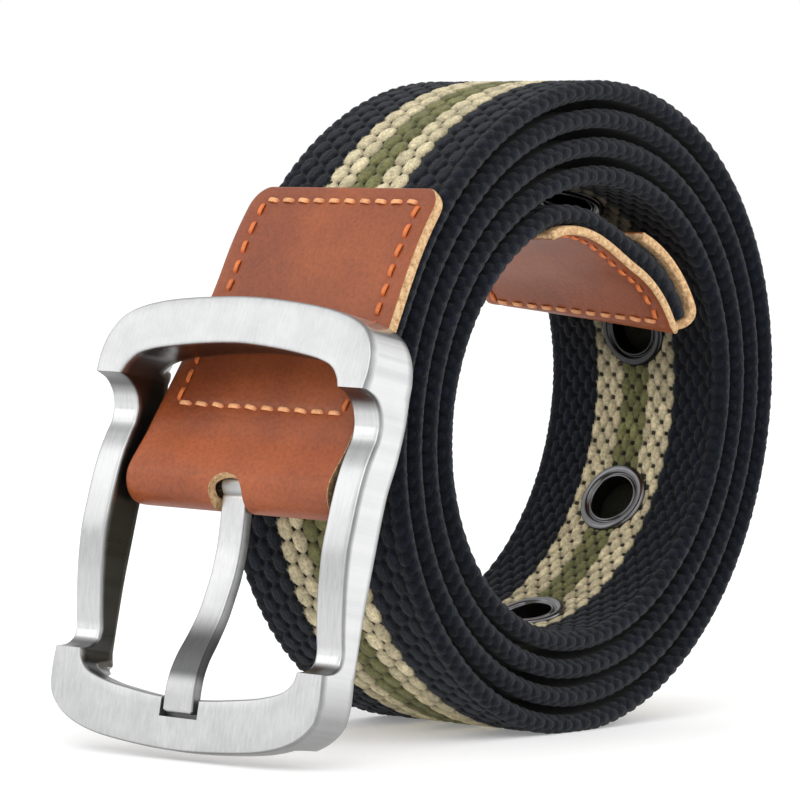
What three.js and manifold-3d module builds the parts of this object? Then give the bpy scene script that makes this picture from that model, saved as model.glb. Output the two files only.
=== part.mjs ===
// A woven web belt lying coiled, with a leather tab that carries a pin buckle, a leather tip and eyelets.
// Millimetres. While it is built, X runs right, Y along the coil's axis and Z up, and the coil's centre
// is the origin. At the end the belt is turned until the coil and the buckle both touch the floor.

import * as THREE from 'three';
import { mergeVertices } from 'three/addons/utils/BufferGeometryUtils.js';
import Module from 'manifold-3d';

const wasm = await Module();
wasm.setup();

// Fits between pieces
const restGap = 0.3;
const hingeGap = 0.25;

// Web
const webWidth = 38;
const webThickness = 3;
const webLength = 1209.2;
const selvage = 0.7;
const webEndSwell = 0.5;

// Coil: the radius of its outermost face, and how loosely the turns lie on each other
const coilRadius = 53.6;
const coilLooseness = 1;
const coilTurnsOut = 4;
const leaveAngle = 150;

// Eighths of a turn, counter-clockwise from the right: the outline as a share of coilRadius, and the
// room between two turns as a share of coilLooseness
const coilShape = [
  { outline: 0.970, slack: 0.40 },
  { outline: 1.035, slack: 0.86 },
  { outline: 1.015, slack: 0.98 },
  { outline: 0.955, slack: 0.33 },
  { outline: 0.970, slack: 0.02 },
  { outline: 1.042, slack: 0.53 },
  { outline: 1.043, slack: 0.93 },
  { outline: 0.968, slack: 0.58 },
];

// Eyelets
const eyeletCount = 6;
const eyeletFirst = 82.9;
const eyeletSpacing = 31;
const eyeletHoleRadius = 4.2;
const eyeletBarrelWall = 0.5;
const eyeletFlangeRadius = 6.5;
const eyeletFlangeThickness = 0.55;
const eyeletRise = 0.35;

// Leather tip
const tipThickness = 1.6;
const tipInnerLength = 37.6;
const tipOuterLength = 12.8;
const tipWidth = 39;
const tipSlantDegrees = 8;
const tipCorner = 2.2;
const tipDrop = 6.3;
const tipDropHold = 22.8;
const tipDropFade = 28.2;

// Leather tab
const tabThickness = 1.9;
const tabWidth = 40.3;
const tabFrontLength = 52.3;
const tabBackLength = 21;
const tabTaperLength = 8;
const tabCorner = 4;
const slotWidth = 6.6;
const slotFrontDegrees = 110;
const slotBackDegrees = -70;

// Buckle: the hinge bar's place outside the coil and above its middle, seen along the coil's axis, the
// frame's lean and its turn about its length
const hingeOut = 10.8;
const hingeZ = -5.9;
const hingeLean = 38;
const frameLean = 15.3;
const frameTwist = 5.5;
const hingeBarRadius = 1.2;
const webEndGap = 1;

const frameWidth = 52.6;
const barWidth = 5.1;
const barsLength = 43.9;
const barsAboveHinge = 15.6;
const hingeBehindFront = 7.7;
const topArchHeight = 13.6;
const topArchBand = 7.7;
const topArchLeanBack = 2.9;
const bottomArchHeight = 14.1;
const bottomArchBand = 8.1;
const frameDepthTop = 12.8;
const frameDepthBottom = 8.6;
const topCoveDepth = 5.1;
const bottomCoveDepth = 4.3;
const barCrestDepth = 1.4;
const notchWidth = 7.4;
const notchDepth = 1.9;
const notchReach = 3;

// Prong
const prongWidth = 4.8;
const prongTipWidth = 5.8;
const prongThickness = 2.2;
const prongEyeWall = 0.7;
const prongProud = 0.6;
const prongEndGap = 0.7;
const prongRoot = 1.6;

// How far the web is pressed flat where the coil stands
const footPress = 0.25;

// The finest differences that count: of angles in radians, and of places when meshes are welded
const tiny = 1e-9;
const weldDistance = 1e-4;

const radians = THREE.MathUtils.degToRad;
const halfWeb = webThickness / 2;
const pitchTight = webThickness + eyeletRise + restGap;

// A smooth value between the rows of a table that goes once round the turn
function roundTable(rows, key, degrees) {
  const count = rows.length;
  let sum = 0;
  rows.forEach((row, index) => {
    const x = radians(degrees - (360 * index) / count) / 2;
    const share = Math.abs(Math.sin(x)) < tiny ? 1 : Math.sin(count * x) / (count * Math.tan(x));
    sum += row[key] * share;
  });
  return sum;
}

function smooth(x, from, to) {
  return THREE.MathUtils.smoothstep(x, from, to);
}

// Radius of the web's middle at an unrolled angle; the outer end of the coil is at leaveTotal
const leaveTotal = leaveAngle + 360 * coilTurnsOut;

function spiralRadius(degrees) {
  const outline = coilRadius * roundTable(coilShape, 'outline', degrees);
  const pitch = pitchTight + coilLooseness * roundTable(coilShape, 'slack', degrees);
  return outline - halfWeb - (pitch * (leaveTotal - degrees)) / 360;
}

function polar(radius, degrees) {
  return new THREE.Vector2(radius * Math.cos(radians(degrees)), radius * Math.sin(radians(degrees)));
}

// The stretch from the coil to the hinge bar: a curve that leaves the coil along it
const hingeX = -coilRadius - hingeOut;
const hinge = new THREE.Vector2(hingeX, hingeZ);
const leavePoint = polar(spiralRadius(leaveTotal), leaveTotal);
const leaveDirection = leavePoint.clone().sub(polar(spiralRadius(leaveTotal - 1), leaveTotal - 1)).normalize();
const arriveDirection = new THREE.Vector2(-Math.sin(radians(hingeLean)), -Math.cos(radians(hingeLean)));
const tailReach = leavePoint.distanceTo(hinge) / 3;
const tail = new THREE.CubicBezierCurve(
  leavePoint,
  leavePoint.clone().addScaledVector(leaveDirection, tailReach),
  hinge.clone().addScaledVector(arriveDirection, -tailReach),
  hinge,
);

// The web's middle line, from the free end to the hinge bar
function strapLine() {
  const angleStep = 2;
  const tailSteps = 20;
  const turns = [];
  let length = tail.getLength();
  let angle = leaveTotal;
  let previous = leavePoint;
  while (length < webLength + hingeRoom) {
    angle -= angleStep;
    const next = polar(spiralRadius(angle), angle);
    length += next.distanceTo(previous);
    turns.push({ degrees: angle, fromHinge: length });
    previous = next;
  }
  const points = turns.reverse().map(({ degrees, fromHinge }) => {
    const fromEnd = length - fromHinge;
    const fall = tipDrop * (1 - smooth(fromEnd, tipDropHold, tipDropHold + tipDropFade));
    return polar(spiralRadius(degrees) - fall, degrees);
  });
  for (let i = 0; i <= tailSteps; i += 1) {
    points.push(tail.getPoint(i / tailSteps));
  }
  return points;
}

const eyeInner = hingeBarRadius + hingeGap;
const eyeOuter = eyeInner + prongEyeWall;
const foldInner = eyeOuter + restGap;
const foldOuter = foldInner + tabThickness;
const panelInner = halfWeb + restGap;
const hingeRoom = foldInner + webEndGap;

const line = strapLine();
const lineLength = [0];
for (let i = 1; i < line.length; i += 1) {
  lineLength.push(lineLength[i - 1] + line[i].distanceTo(line[i - 1]));
}
const strapEnd = lineLength[lineLength.length - 1];

function lineIndex(s) {
  let low = 0;
  let high = line.length - 2;
  while (low < high) {
    const middle = Math.ceil((low + high) / 2);
    if (lineLength[middle] <= s) {
      low = middle;
    } else {
      high = middle - 1;
    }
  }
  return low;
}

// Position and direction of the middle line at a length s from the free end
function lineAt(s) {
  const i = lineIndex(s);
  const share = (s - lineLength[i]) / (lineLength[i + 1] - lineLength[i]);
  const before = line[Math.max(i - 1, 0)];
  const after = line[Math.min(i + 2, line.length - 1)];
  const startDirection = line[i + 1].clone().sub(before);
  const endDirection = after.clone().sub(line[i]);
  return {
    point: line[i].clone().lerp(line[i + 1], share),
    direction: startDirection.normalize().lerp(endDirection.normalize(), share).normalize(),
  };
}

// The hinge bar's own directions: across from far to near, up along the frame, and out of its front
const frameUp = new THREE.Vector3(Math.sin(radians(frameLean)), 0, Math.cos(radians(frameLean)));
const frameAcross = new THREE.Vector3(0, -1, 0).applyAxisAngle(frameUp, radians(frameTwist));
const frameFront = frameAcross.clone().cross(frameUp);
const hingePoint = new THREE.Vector3(hingeX, 0, hingeZ);

// A point of the strap: s along it, w across it towards the far edge, t out of its outer face.
// Towards the hinge the strap turns until it lies square to the hinge bar.
const straightAcross = new THREE.Vector3(0, 1, 0);
const hingeAcross = frameAcross.clone().negate();

function strapPoint(s, w, t) {
  const { point, direction } = lineAt(s);
  const turned = smooth(s, strapEnd - tail.getLength(), strapEnd - foldOuter);
  const across = straightAcross.clone().lerp(hingeAcross, turned).normalize();
  const along = new THREE.Vector3(direction.x, 0, direction.y);
  const out = across.clone().cross(along).normalize();
  return new THREE.Vector3(point.x, 0, point.y).addScaledVector(across, w).addScaledVector(out, t);
}

// Closed mesh from rows of points, each row once round the section
function loft(rows) {
  const positions = [];
  const index = [];
  const around = rows[0].length;
  rows.forEach((row) => row.forEach((p) => positions.push(p.x, p.y, p.z)));
  for (let i = 0; i + 1 < rows.length; i += 1) {
    for (let j = 0; j < around; j += 1) {
      const a = i * around + j;
      const b = i * around + ((j + 1) % around);
      index.push(a, b, b + around, a, b + around, a + around);
    }
  }
  const last = (rows.length - 1) * around;
  for (let j = 1; j + 1 < around; j += 1) {
    index.push(0, j + 1, j);
    index.push(last, last + j, last + j + 1);
  }
  return outward(positions, index);
}

function outward(positions, index) {
  let volume = 0;
  const at = (i) => new THREE.Vector3().fromArray(positions, 3 * i);
  for (let i = 0; i < index.length; i += 3) {
    volume += at(index[i]).dot(at(index[i + 1]).cross(at(index[i + 2])));
  }
  const geometry = new THREE.BufferGeometry();
  geometry.setAttribute('position', new THREE.Float32BufferAttribute(positions, 3));
  geometry.setIndex(volume > 0 ? index : index.slice().reverse());
  return geometry;
}

function solid(geometry) {
  const bare = geometry.clone();
  bare.deleteAttribute('normal');
  bare.deleteAttribute('uv');
  const merged = mergeVertices(bare, weldDistance);
  return new wasm.Manifold(new wasm.Mesh({
    numProp: 3,
    vertProperties: new Float32Array(merged.attributes.position.array),
    triVerts: new Uint32Array(merged.index.array),
  }));
}

function fromSolid(body) {
  const mesh = body.getMesh();
  const geometry = new THREE.BufferGeometry();
  geometry.setAttribute('position', new THREE.BufferAttribute(mesh.vertProperties, 3));
  geometry.setIndex(new THREE.BufferAttribute(mesh.triVerts, 1));
  return geometry;
}

// A flat strip in strap terms: stations along it, its half width at each, and its two faces
function strip({ stations, halfWidth, low, high, edge = 0, slant = () => 0 }) {
  return loft(stations.map((s) => {
    const half = halfWidth(s);
    const inner = half - edge;
    const rim = edge / 2;
    const bottom = low(s);
    const top = high(s);
    const section = edge > 0
      ? [[-half, bottom + rim], [-inner, bottom], [inner, bottom], [half, bottom + rim],
        [half, top - rim], [inner, top], [-inner, top], [-half, top - rim]]
      : [[-half, bottom], [half, bottom], [half, top], [-half, top]];
    return section.map(([w, t]) => strapPoint(s + slant(s) * w, w, t));
  }));
}

function steps(from, to, size) {
  const count = Math.max(1, Math.round((to - from) / size));
  return Array.from({ length: count + 1 }, (_, i) => from + ((to - from) * i) / count);
}

// The leather tip ends at a slant beyond the web's square end
const tipReach = (tipWidth / 2) * Math.tan(radians(tipSlantDegrees));
const tipSolidEnd = tipThickness + tipReach;
const tipEnd = tipReach;
const webStart = tipEnd + tipSolidEnd + restGap;

// Half the web's thickness, which swells where its end is bound in the leather tip
function webHalf(s) {
  return halfWeb + webEndSwell * (1 - smooth(s, webStart, webStart + 2 * tipOuterLength));
}

// A ring round the strap's thickness, bent to the strap: profile rows of [radius, t]
function strapRing(s, profile, sides) {
  const positions = [];
  const index = [];
  for (let i = 0; i < sides; i += 1) {
    const turn = (2 * Math.PI * i) / sides;
    profile.forEach(([radius, t]) => {
      const p = strapPoint(s + radius * Math.cos(turn), radius * Math.sin(turn), t);
      positions.push(p.x, p.y, p.z);
    });
  }
  const count = profile.length;
  for (let i = 0; i < sides; i += 1) {
    const next = (i + 1) % sides;
    for (let j = 0; j < count; j += 1) {
      const k = (j + 1) % count;
      index.push(i * count + j, next * count + j, next * count + k);
      index.push(i * count + j, next * count + k, i * count + k);
    }
  }
  return outward(positions, index);
}

// A plug across the strap's thickness, bent to the strap, closed on its axis at both ends
function strapPlug(s, profile, sides) {
  const positions = [];
  const index = [];
  const rim = profile.slice(1, -1);
  const low = strapPoint(s, 0, profile[0][1]);
  const high = strapPoint(s, 0, profile[profile.length - 1][1]);
  positions.push(low.x, low.y, low.z, high.x, high.y, high.z);
  for (let i = 0; i < sides; i += 1) {
    const turn = (2 * Math.PI * i) / sides;
    rim.forEach(([radius, t]) => {
      const p = strapPoint(s + radius * Math.cos(turn), radius * Math.sin(turn), t);
      positions.push(p.x, p.y, p.z);
    });
  }
  for (let i = 0; i < sides; i += 1) {
    const here = 2 + i * rim.length;
    const next = 2 + ((i + 1) % sides) * rim.length;
    index.push(0, next, here);
    for (let j = 0; j + 1 < rim.length; j += 1) {
      index.push(here + j, next + j, next + j + 1, here + j, next + j + 1, here + j + 1);
    }
    index.push(1, here + rim.length - 1, next + rim.length - 1);
  }
  return outward(positions, index);
}

const barrelOuter = eyeletHoleRadius + eyeletBarrelWall;
const flangeOuter = halfWeb + eyeletRise;
const flangeInner = flangeOuter - eyeletFlangeThickness;
const eyeletSeat = flangeInner - restGap;
const ringSides = 20;
const eyeletAt = (index) => webStart + eyeletFirst + index * eyeletSpacing;

function eyelet(index) {
  const bevel = eyeletFlangeThickness / 2;
  return strapRing(eyeletAt(index), [
    [eyeletHoleRadius + bevel, -flangeOuter],
    [eyeletFlangeRadius - bevel, -flangeOuter],
    [eyeletFlangeRadius, -flangeInner],
    [barrelOuter, -flangeInner],
    [barrelOuter, flangeInner],
    [eyeletFlangeRadius, flangeInner],
    [eyeletFlangeRadius - bevel, flangeOuter],
    [eyeletHoleRadius + bevel, flangeOuter],
    [eyeletHoleRadius, flangeOuter - bevel],
    [eyeletHoleRadius, bevel - flangeOuter],
  ], ringSides);
}

function eyeletSeatCut(index) {
  const through = barrelOuter + restGap;
  const seat = eyeletFlangeRadius + restGap;
  return solid(strapPlug(eyeletAt(index), [
    [0, -webThickness],
    [seat, -webThickness],
    [seat, -eyeletSeat],
    [through, -eyeletSeat],
    [through, eyeletSeat],
    [seat, eyeletSeat],
    [seat, webThickness],
    [0, webThickness],
  ], ringSides));
}

function strapWeb() {
  const rowStep = 5;
  const web = solid(strip({
    stations: steps(webStart, strapEnd - hingeRoom, rowStep),
    halfWidth: () => webWidth / 2,
    low: (s) => -webHalf(s),
    high: webHalf,
    edge: selvage,
  }));
  let cut = web;
  for (let i = 0; i < eyeletCount; i += 1) {
    cut = cut.subtract(eyeletSeatCut(i));
  }
  return fromSolid(cut);
}

function leatherTip() {
  const tipStep = 4;
  const cornerSteps = 4;
  const pocketEnd = webStart - restGap;
  const slope = Math.tan(radians(tipSlantDegrees));
  const inner = (s) => webHalf(s) + restGap;
  const outer = (s) => inner(s) + tipThickness;
  const cornerStations = Array.from({ length: cornerSteps }, (_, i) => (
    tipEnd + tipCorner * (1 - Math.cos((i * Math.PI) / (2 * cornerSteps)))
  ));
  const layer = (length, low, high) => solid(strip({
    stations: cornerStations.concat(steps(pocketEnd, webStart + length, tipStep)),
    halfWidth: (s) => {
      const intoCorner = Math.max(0, tipEnd + tipCorner - s);
      return tipWidth / 2 - tipCorner + Math.sqrt(Math.max(0, tipCorner ** 2 - intoCorner ** 2));
    },
    low,
    high,
    slant: (s) => slope * (1 - smooth(s, tipEnd, pocketEnd)),
  }));
  const inside = layer(tipInnerLength, (s) => -outer(s), (s) => -inner(s));
  const outside = layer(tipOuterLength, inner, outer);
  const between = layer(-restGap, (s) => -outer(s), outer);
  return fromSolid(inside.add(outside).add(between));
}

// Distance of the tab's inner face from the strap's middle: wide round the hinge, close on the web
function tabInner(fromHinge) {
  return foldInner + (panelInner - foldInner) * smooth(fromHinge, 0, tabTaperLength);
}

// A point on a circle round the hinge bar, turned from straight down towards the front
function aroundHinge(w, radius, degrees) {
  return hingePoint.clone()
    .addScaledVector(frameAcross, -w)
    .addScaledVector(frameUp, -radius * Math.cos(radians(degrees)))
    .addScaledVector(frameFront, radius * Math.sin(radians(degrees)));
}

function leatherTab() {
  const panelStep = 4;
  const foldSteps = 12;
  const cornerSteps = 4;
  const tilt = hingeLean - frameLean;
  const rows = [];
  const sheet = (half, near, far) => [near(-half), near(half), far(half), far(-half)];
  const corners = Array.from({ length: cornerSteps }, (_, i) => {
    const turn = (i * Math.PI) / (2 * cornerSteps);
    return {
      reach: tabFrontLength - tabCorner * (1 - Math.cos(turn)),
      half: tabWidth / 2 - tabCorner * (1 - Math.sin(turn)),
    };
  });
  const panel = steps(tabFrontLength - tabCorner, panelStep / 2, -panelStep);
  const front = corners.concat(panel.map((reach) => ({ reach, half: tabWidth / 2 })));
  front.forEach(({ reach, half }) => {
    const s = strapEnd - reach;
    const inner = tabInner(reach);
    rows.push(sheet(half, (w) => strapPoint(s, w, inner), (w) => strapPoint(s, w, inner + tabThickness)));
  });
  for (let i = 0; i <= foldSteps; i += 1) {
    const turn = 90 + tilt - (180 * i) / foldSteps;
    rows.push(sheet(tabWidth / 2, (w) => aroundHinge(w, foldInner, turn), (w) => aroundHinge(w, foldOuter, turn)));
  }
  steps(panelStep / 2, tabBackLength, panelStep).forEach((reach) => {
    const s = strapEnd - reach;
    const inner = -tabInner(reach);
    rows.push(sheet(tabWidth / 2, (w) => strapPoint(s, w, inner), (w) => strapPoint(s, w, inner - tabThickness)));
  });
  return fromSolid(solid(loft(rows)).subtract(prongSlot()));
}

// The slot round the fold, with a rounded upper end at the front
function prongSlot() {
  const reach = foldOuter + tabThickness;
  const near = hingeBarRadius;
  const half = slotWidth / 2;
  const roundDegrees = THREE.MathUtils.radToDeg(half / foldOuter);
  const slotStep = 12;
  const stations = steps(slotBackDegrees, slotFrontDegrees - roundDegrees, slotStep);
  const body = solid(loft(stations.map((turn) => [
    aroundHinge(-half, near, turn),
    aroundHinge(half, near, turn),
    aroundHinge(half, reach, turn),
    aroundHinge(-half, reach, turn),
  ])));
  const capSides = 20;
  const capRows = [near, reach].map((radius) => Array.from({ length: capSides }, (_, i) => {
    const a = (2 * Math.PI * i) / capSides;
    const along = roundDegrees * Math.sin(a);
    return aroundHinge(half * Math.cos(a), radius, slotFrontDegrees - roundDegrees + along);
  }));
  return body.add(solid(loft(capRows)));
}

// The frame is built with x across it from far to near, y up along it and z out of its front,
// from the hinge bar's middle
const frontPlane = hingeBehindFront;
const barsTop = barsAboveHinge;
const barsBottom = barsTop - barsLength;
const frameTop = barsTop + topArchHeight;
const frameBottom = barsBottom - bottomArchHeight;
const frameHalf = frameWidth / 2;
const windowHalf = frameHalf - barWidth;
const notchWall = frameBottom + bottomArchBand - notchReach;

// How far a shape that trims the frame reaches past it
const trimReach = 1;

// Half of an arch from its end to its middle: place across as a share of its half width, measured
// from the bar, and height as a share of the arch's
const topOuter = [
  { in: -0.006, up: 0.22 }, { in: 0.015, up: 0.45 }, { in: 0.07, up: 0.64 }, { in: 0.13, up: 0.74 },
  { in: 0.22, up: 0.82 }, { in: 0.38, up: 0.90 }, { in: 0.62, up: 0.96 }, { in: 1, up: 1 },
];
const topInner = [
  { in: 0, up: 0 }, { in: 0.03, up: 0.24 }, { in: 0.10, up: 0.52 }, { in: 0.22, up: 0.69 },
  { in: 0.42, up: 0.82 }, { in: 0.70, up: 0.94 }, { in: 1, up: 1 },
];
const bottomOuter = [
  { in: -0.006, up: 0.30 }, { in: 0.015, up: 0.52 }, { in: 0.08, up: 0.67 }, { in: 0.18, up: 0.79 },
  { in: 0.34, up: 0.89 }, { in: 0.60, up: 0.96 }, { in: 1, up: 1 },
];
const bottomInner = [
  { in: 0, up: 0 }, { in: 0.02, up: 0.27 }, { in: 0.09, up: 0.52 }, { in: 0.28, up: 0.74 },
  { in: 0.52, up: 0.87 }, { in: 0.76, up: 0.96 }, { in: 1, up: 1 },
];

function archHalf(rows, half, start, height) {
  return rows.map((row) => new THREE.Vector2(-half * (1 - row.in), start + height * row.up));
}

function mirrored(points) {
  const other = points.slice(0, -1).reverse().map((p) => new THREE.Vector2(-p.x, p.y));
  return points.concat(other);
}

function frameFrontShape() {
  const top = mirrored(archHalf(topOuter, frameHalf, barsTop, topArchHeight));
  const bottom = mirrored(archHalf(bottomOuter, frameHalf, barsBottom, -bottomArchHeight));
  const shape = new THREE.Shape(bottom.concat(top.reverse()));
  const innerTop = mirrored(archHalf(topInner, windowHalf, barsTop, topArchHeight - topArchBand));
  const innerBottom = mirrored(
    archHalf(bottomInner, windowHalf, barsBottom, bottomArchBand - bottomArchHeight),
  );
  shape.holes.push(new THREE.Path(innerTop.concat(innerBottom.reverse())));
  return shape;
}

// The frame seen from its side. Rows run up the frame: height as a share of the bars' length from
// their lower end, and depth below the front as a share of the named depth
const barFront = [
  { at: 0, depth: 0, of: bottomCoveDepth },
  { at: 0.008, depth: 0.45, of: bottomCoveDepth },
  { at: 0.025, depth: 0.78, of: bottomCoveDepth },
  { at: 0.047, depth: 0.96, of: bottomCoveDepth },
  { at: 0.075, depth: 1, of: bottomCoveDepth },
  { at: 0.13, depth: 0.87, of: bottomCoveDepth },
  { at: 0.22, depth: 0.68, of: bottomCoveDepth },
  { at: 0.32, depth: 1.18, of: barCrestDepth },
  { at: 0.43, depth: 1, of: barCrestDepth },
  { at: 0.54, depth: 1.2, of: barCrestDepth },
  { at: 0.64, depth: 0.5, of: topCoveDepth },
  { at: 0.72, depth: 0.63, of: topCoveDepth },
  { at: 0.79, depth: 0.82, of: topCoveDepth },
  { at: 0.845, depth: 0.98, of: topCoveDepth },
  { at: 0.88, depth: 1, of: topCoveDepth },
  { at: 0.925, depth: 0.9, of: topCoveDepth },
  { at: 0.96, depth: 0.7, of: topCoveDepth },
  { at: 0.985, depth: 0.42, of: topCoveDepth },
  { at: 1, depth: 0, of: topCoveDepth },
];
const frameBack = [
  { at: 1.35, depth: 0.95, of: frameDepthTop },
  { at: 0.94, depth: 1, of: frameDepthTop },
  { at: 0.8, depth: 0.945, of: frameDepthTop },
  { at: 0.64, depth: 0.81, of: frameDepthTop },
  { at: 0.43, depth: 1.1, of: frameDepthBottom },
  { at: 0.2, depth: 1.02, of: frameDepthBottom },
  { at: -0.35, depth: 0.98, of: frameDepthBottom },
];

function frameSideShape() {
  const row = ({ at, depth, of }) => new THREE.Vector2(barsBottom + at * barsLength, frontPlane - depth * of);
  const leanBack = (topArchLeanBack * (topArchHeight + trimReach)) / topArchHeight;
  const front = [
    new THREE.Vector2(frameBottom - trimReach, frontPlane),
    ...barFront.map(row),
    new THREE.Vector2(frameTop + trimReach, frontPlane - leanBack),
  ];
  return new THREE.Shape(front.concat(frameBack.map(row)));
}

function block(low, high) {
  const geometry = new THREE.BoxGeometry(high.x - low.x, high.y - low.y, high.z - low.z);
  return solid(geometry.translate((low.x + high.x) / 2, (low.y + high.y) / 2, (low.z + high.z) / 2));
}

// Places a solid made in the frame's directions where the buckle is
const frameMatrix = new THREE.Matrix4().makeBasis(frameAcross, frameUp, frameFront).setPosition(hingePoint);

// The room that the tab takes behind the top arch
function tabRoom() {
  const side = tabWidth / 2 + restGap + hingeGap;
  const from = strapEnd - tabFrontLength;
  const to = strapEnd - hingeBarRadius - tabTaperLength / 2;
  const roomStep = 3;
  const room = strip({
    stations: steps(from, to, roomStep),
    halfWidth: () => side,
    low: () => -frameDepthTop,
    high: (s) => tabInner(strapEnd - s) + tabThickness + restGap,
  });
  return solid(room.applyMatrix4(frameMatrix.clone().invert()));
}

// Extrudes a side view, drawn as height and depth, across the frame
function acrossFrame(shape, width) {
  const geometry = new THREE.ExtrudeGeometry(shape, { depth: width, bevelEnabled: false });
  geometry.translate(0, 0, -width / 2);
  return geometry.applyMatrix4(new THREE.Matrix4().makeBasis(
    new THREE.Vector3(0, 1, 0),
    new THREE.Vector3(0, 0, 1),
    new THREE.Vector3(1, 0, 0),
  ));
}

function buckleFrame() {
  const thick = frameDepthTop + 2 * trimReach;
  const plate = new THREE.ExtrudeGeometry(frameFrontShape(), { depth: thick, bevelEnabled: false });
  plate.translate(0, 0, frontPlane - frameDepthTop - trimReach);
  const side = acrossFrame(frameSideShape(), 2 * frameWidth);
  const barSides = 20;
  const bar = new THREE.CylinderGeometry(hingeBarRadius, hingeBarRadius, 2 * windowHalf + barWidth, barSides);
  bar.rotateZ(Math.PI / 2);
  const notchLow = new THREE.Vector3(-notchWidth / 2, notchWall, frontPlane - notchDepth);
  const notchHigh = new THREE.Vector3(notchWidth / 2, barsBottom, frontPlane + notchDepth);
  return fromSolid(
    solid(plate)
      .intersect(solid(side))
      .subtract(tabRoom())
      .subtract(block(notchLow, notchHigh))
      .add(solid(bar)),
  );
}

// The prong seen from its side: height below the hinge as a share of its length, and the front
// face's place between the root's and the tip's
const prongLength = -notchWall - prongEndGap;
const prongFront = [
  { down: 0.04, forward: 0 },
  { down: 0.15, forward: -0.04 },
  { down: 0.27, forward: -0.06 },
  { down: 0.38, forward: 0 },
  { down: 0.47, forward: 0.12 },
  { down: 0.56, forward: 0.27 },
  { down: 0.66, forward: 0.53 },
  { down: 0.75, forward: 0.8 },
  { down: 0.83, forward: 0.95 },
  { down: 0.91, forward: 1 },
  { down: 1, forward: 0.98 },
];

function prongShape() {
  const tip = frontPlane + prongProud;
  const front = prongFront.map(({ down, forward }) => (
    new THREE.Vector2(-down * prongLength, prongRoot + forward * (tip - prongRoot))
  ));
  const back = front.map((p, i) => {
    const before = front[Math.max(i - 1, 0)];
    const after = front[Math.min(i + 1, front.length - 1)];
    const along = after.clone().sub(before).normalize();
    return new THREE.Vector2(p.x - along.y * prongThickness, p.y + along.x * prongThickness);
  });
  return new THREE.Shape(front.concat(back.reverse()));
}

function buckleProng() {
  const shank = acrossFrame(prongShape(), prongWidth);
  const places = shank.attributes.position;
  for (let i = 0; i < places.count; i += 1) {
    const share = smooth(-places.getY(i), prongLength / 2, prongLength);
    places.setX(i, places.getX(i) * (1 + (prongTipWidth / prongWidth - 1) * share));
  }
  const ring = new THREE.Shape();
  ring.absarc(0, 0, eyeOuter, 0, 2 * Math.PI);
  const bore = new THREE.Path();
  bore.absarc(0, 0, eyeInner, 0, 2 * Math.PI);
  ring.holes.push(bore);
  const eye = acrossFrame(ring, prongWidth);
  return fromSolid(solid(shank).add(solid(eye)));
}

// How far the lowest of the points lies along a direction
function lowest(points, down) {
  return points.reduce((low, p) => Math.min(low, p.dot(down)), Infinity);
}

function pointsOf(geometry, matrix = new THREE.Matrix4()) {
  const places = geometry.attributes.position;
  return Array.from({ length: places.count }, (_, i) => (
    new THREE.Vector3().fromBufferAttribute(places, i).applyMatrix4(matrix)
  ));
}

function floorUp(angle) {
  return new THREE.Vector3(Math.sin(angle), 0, Math.cos(angle));
}

// How far the belt turns so that the coil and the buckle's lower end both reach the floor
function restAngle(coilPoints, buckle) {
  const mostDegrees = 20;
  const tries = 40;
  let low = 0;
  let high = radians(mostDegrees);
  for (let i = 0; i < tries; i += 1) {
    const middle = (low + high) / 2;
    const up = floorUp(middle);
    if (lowest(buckle, up) > lowest(coilPoints, up) + footPress) {
      low = middle;
    } else {
      high = middle;
    }
  }
  return (low + high) / 2;
}

// Presses the web's lowest stretch flat against the floor
function pressFoot(geometry, up, floor) {
  const places = geometry.attributes.position;
  const p = new THREE.Vector3();
  for (let i = 0; i < places.count; i += 1) {
    p.fromBufferAttribute(places, i);
    const below = floor - p.dot(up);
    if (below > 0) {
      p.addScaledVector(up, below);
      places.setXYZ(i, p.x, p.y, p.z);
    }
  }
}

const colours = {
  web: { color: 0x1b2431, roughness: 0.95, metalness: 0 },
  leather: { color: 0x96501f, roughness: 0.6, metalness: 0 },
  steel: { color: 0xc4c6c8, roughness: 0.35, metalness: 1 },
  gunmetal: { color: 0x4a4c50, roughness: 0.3, metalness: 1 },
};

function piece(name, geometry, finish) {
  const flat = geometry.index ? geometry.toNonIndexed() : geometry;
  flat.computeVertexNormals();
  const mesh = new THREE.Mesh(flat, new THREE.MeshStandardMaterial(colours[finish]));
  mesh.name = name;
  return mesh;
}

const web = strapWeb();
const frame = buckleFrame();
const tilt = restAngle(pointsOf(web), pointsOf(frame, frameMatrix));
const up = floorUp(tilt);
pressFoot(web, up, lowest(pointsOf(web), up) + footPress);

const buckle = new THREE.Group();
buckle.applyMatrix4(frameMatrix);
buckle.add(piece('buckle_frame', frame, 'steel'), piece('buckle_prong', buckleProng(), 'steel'));

const belt = new THREE.Group();
belt.add(
  piece('strap_web', web, 'web'),
  piece('leather_tab', leatherTab(), 'leather'),
  piece('leather_tip', leatherTip(), 'leather'),
  buckle,
);
for (let i = 0; i < eyeletCount; i += 1) {
  belt.add(piece(`eyelet_${i + 1}`, eyelet(i), 'gunmetal'));
}
belt.rotation.y = -tilt;

const group = new THREE.Group();
group.add(belt);
group.updateMatrixWorld(true);
const box = new THREE.Box3().setFromObject(group, true);
belt.position.set(-(box.min.x + box.max.x) / 2, -(box.min.y + box.max.y) / 2, -box.min.z);
group.updateMatrixWorld(true);

export default group;
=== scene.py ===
# The looks of a coiled canvas web belt with a leather tab, a pin buckle, a leather tip and eyelets.
# Sizes are millimetres in the belt's own axes: X right, Y along the coil's axis, Z up, coil centre at
# the origin. to_row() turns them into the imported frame's metres.
import math

import bpy
import numpy as np
from mathutils import Matrix, Vector


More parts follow.
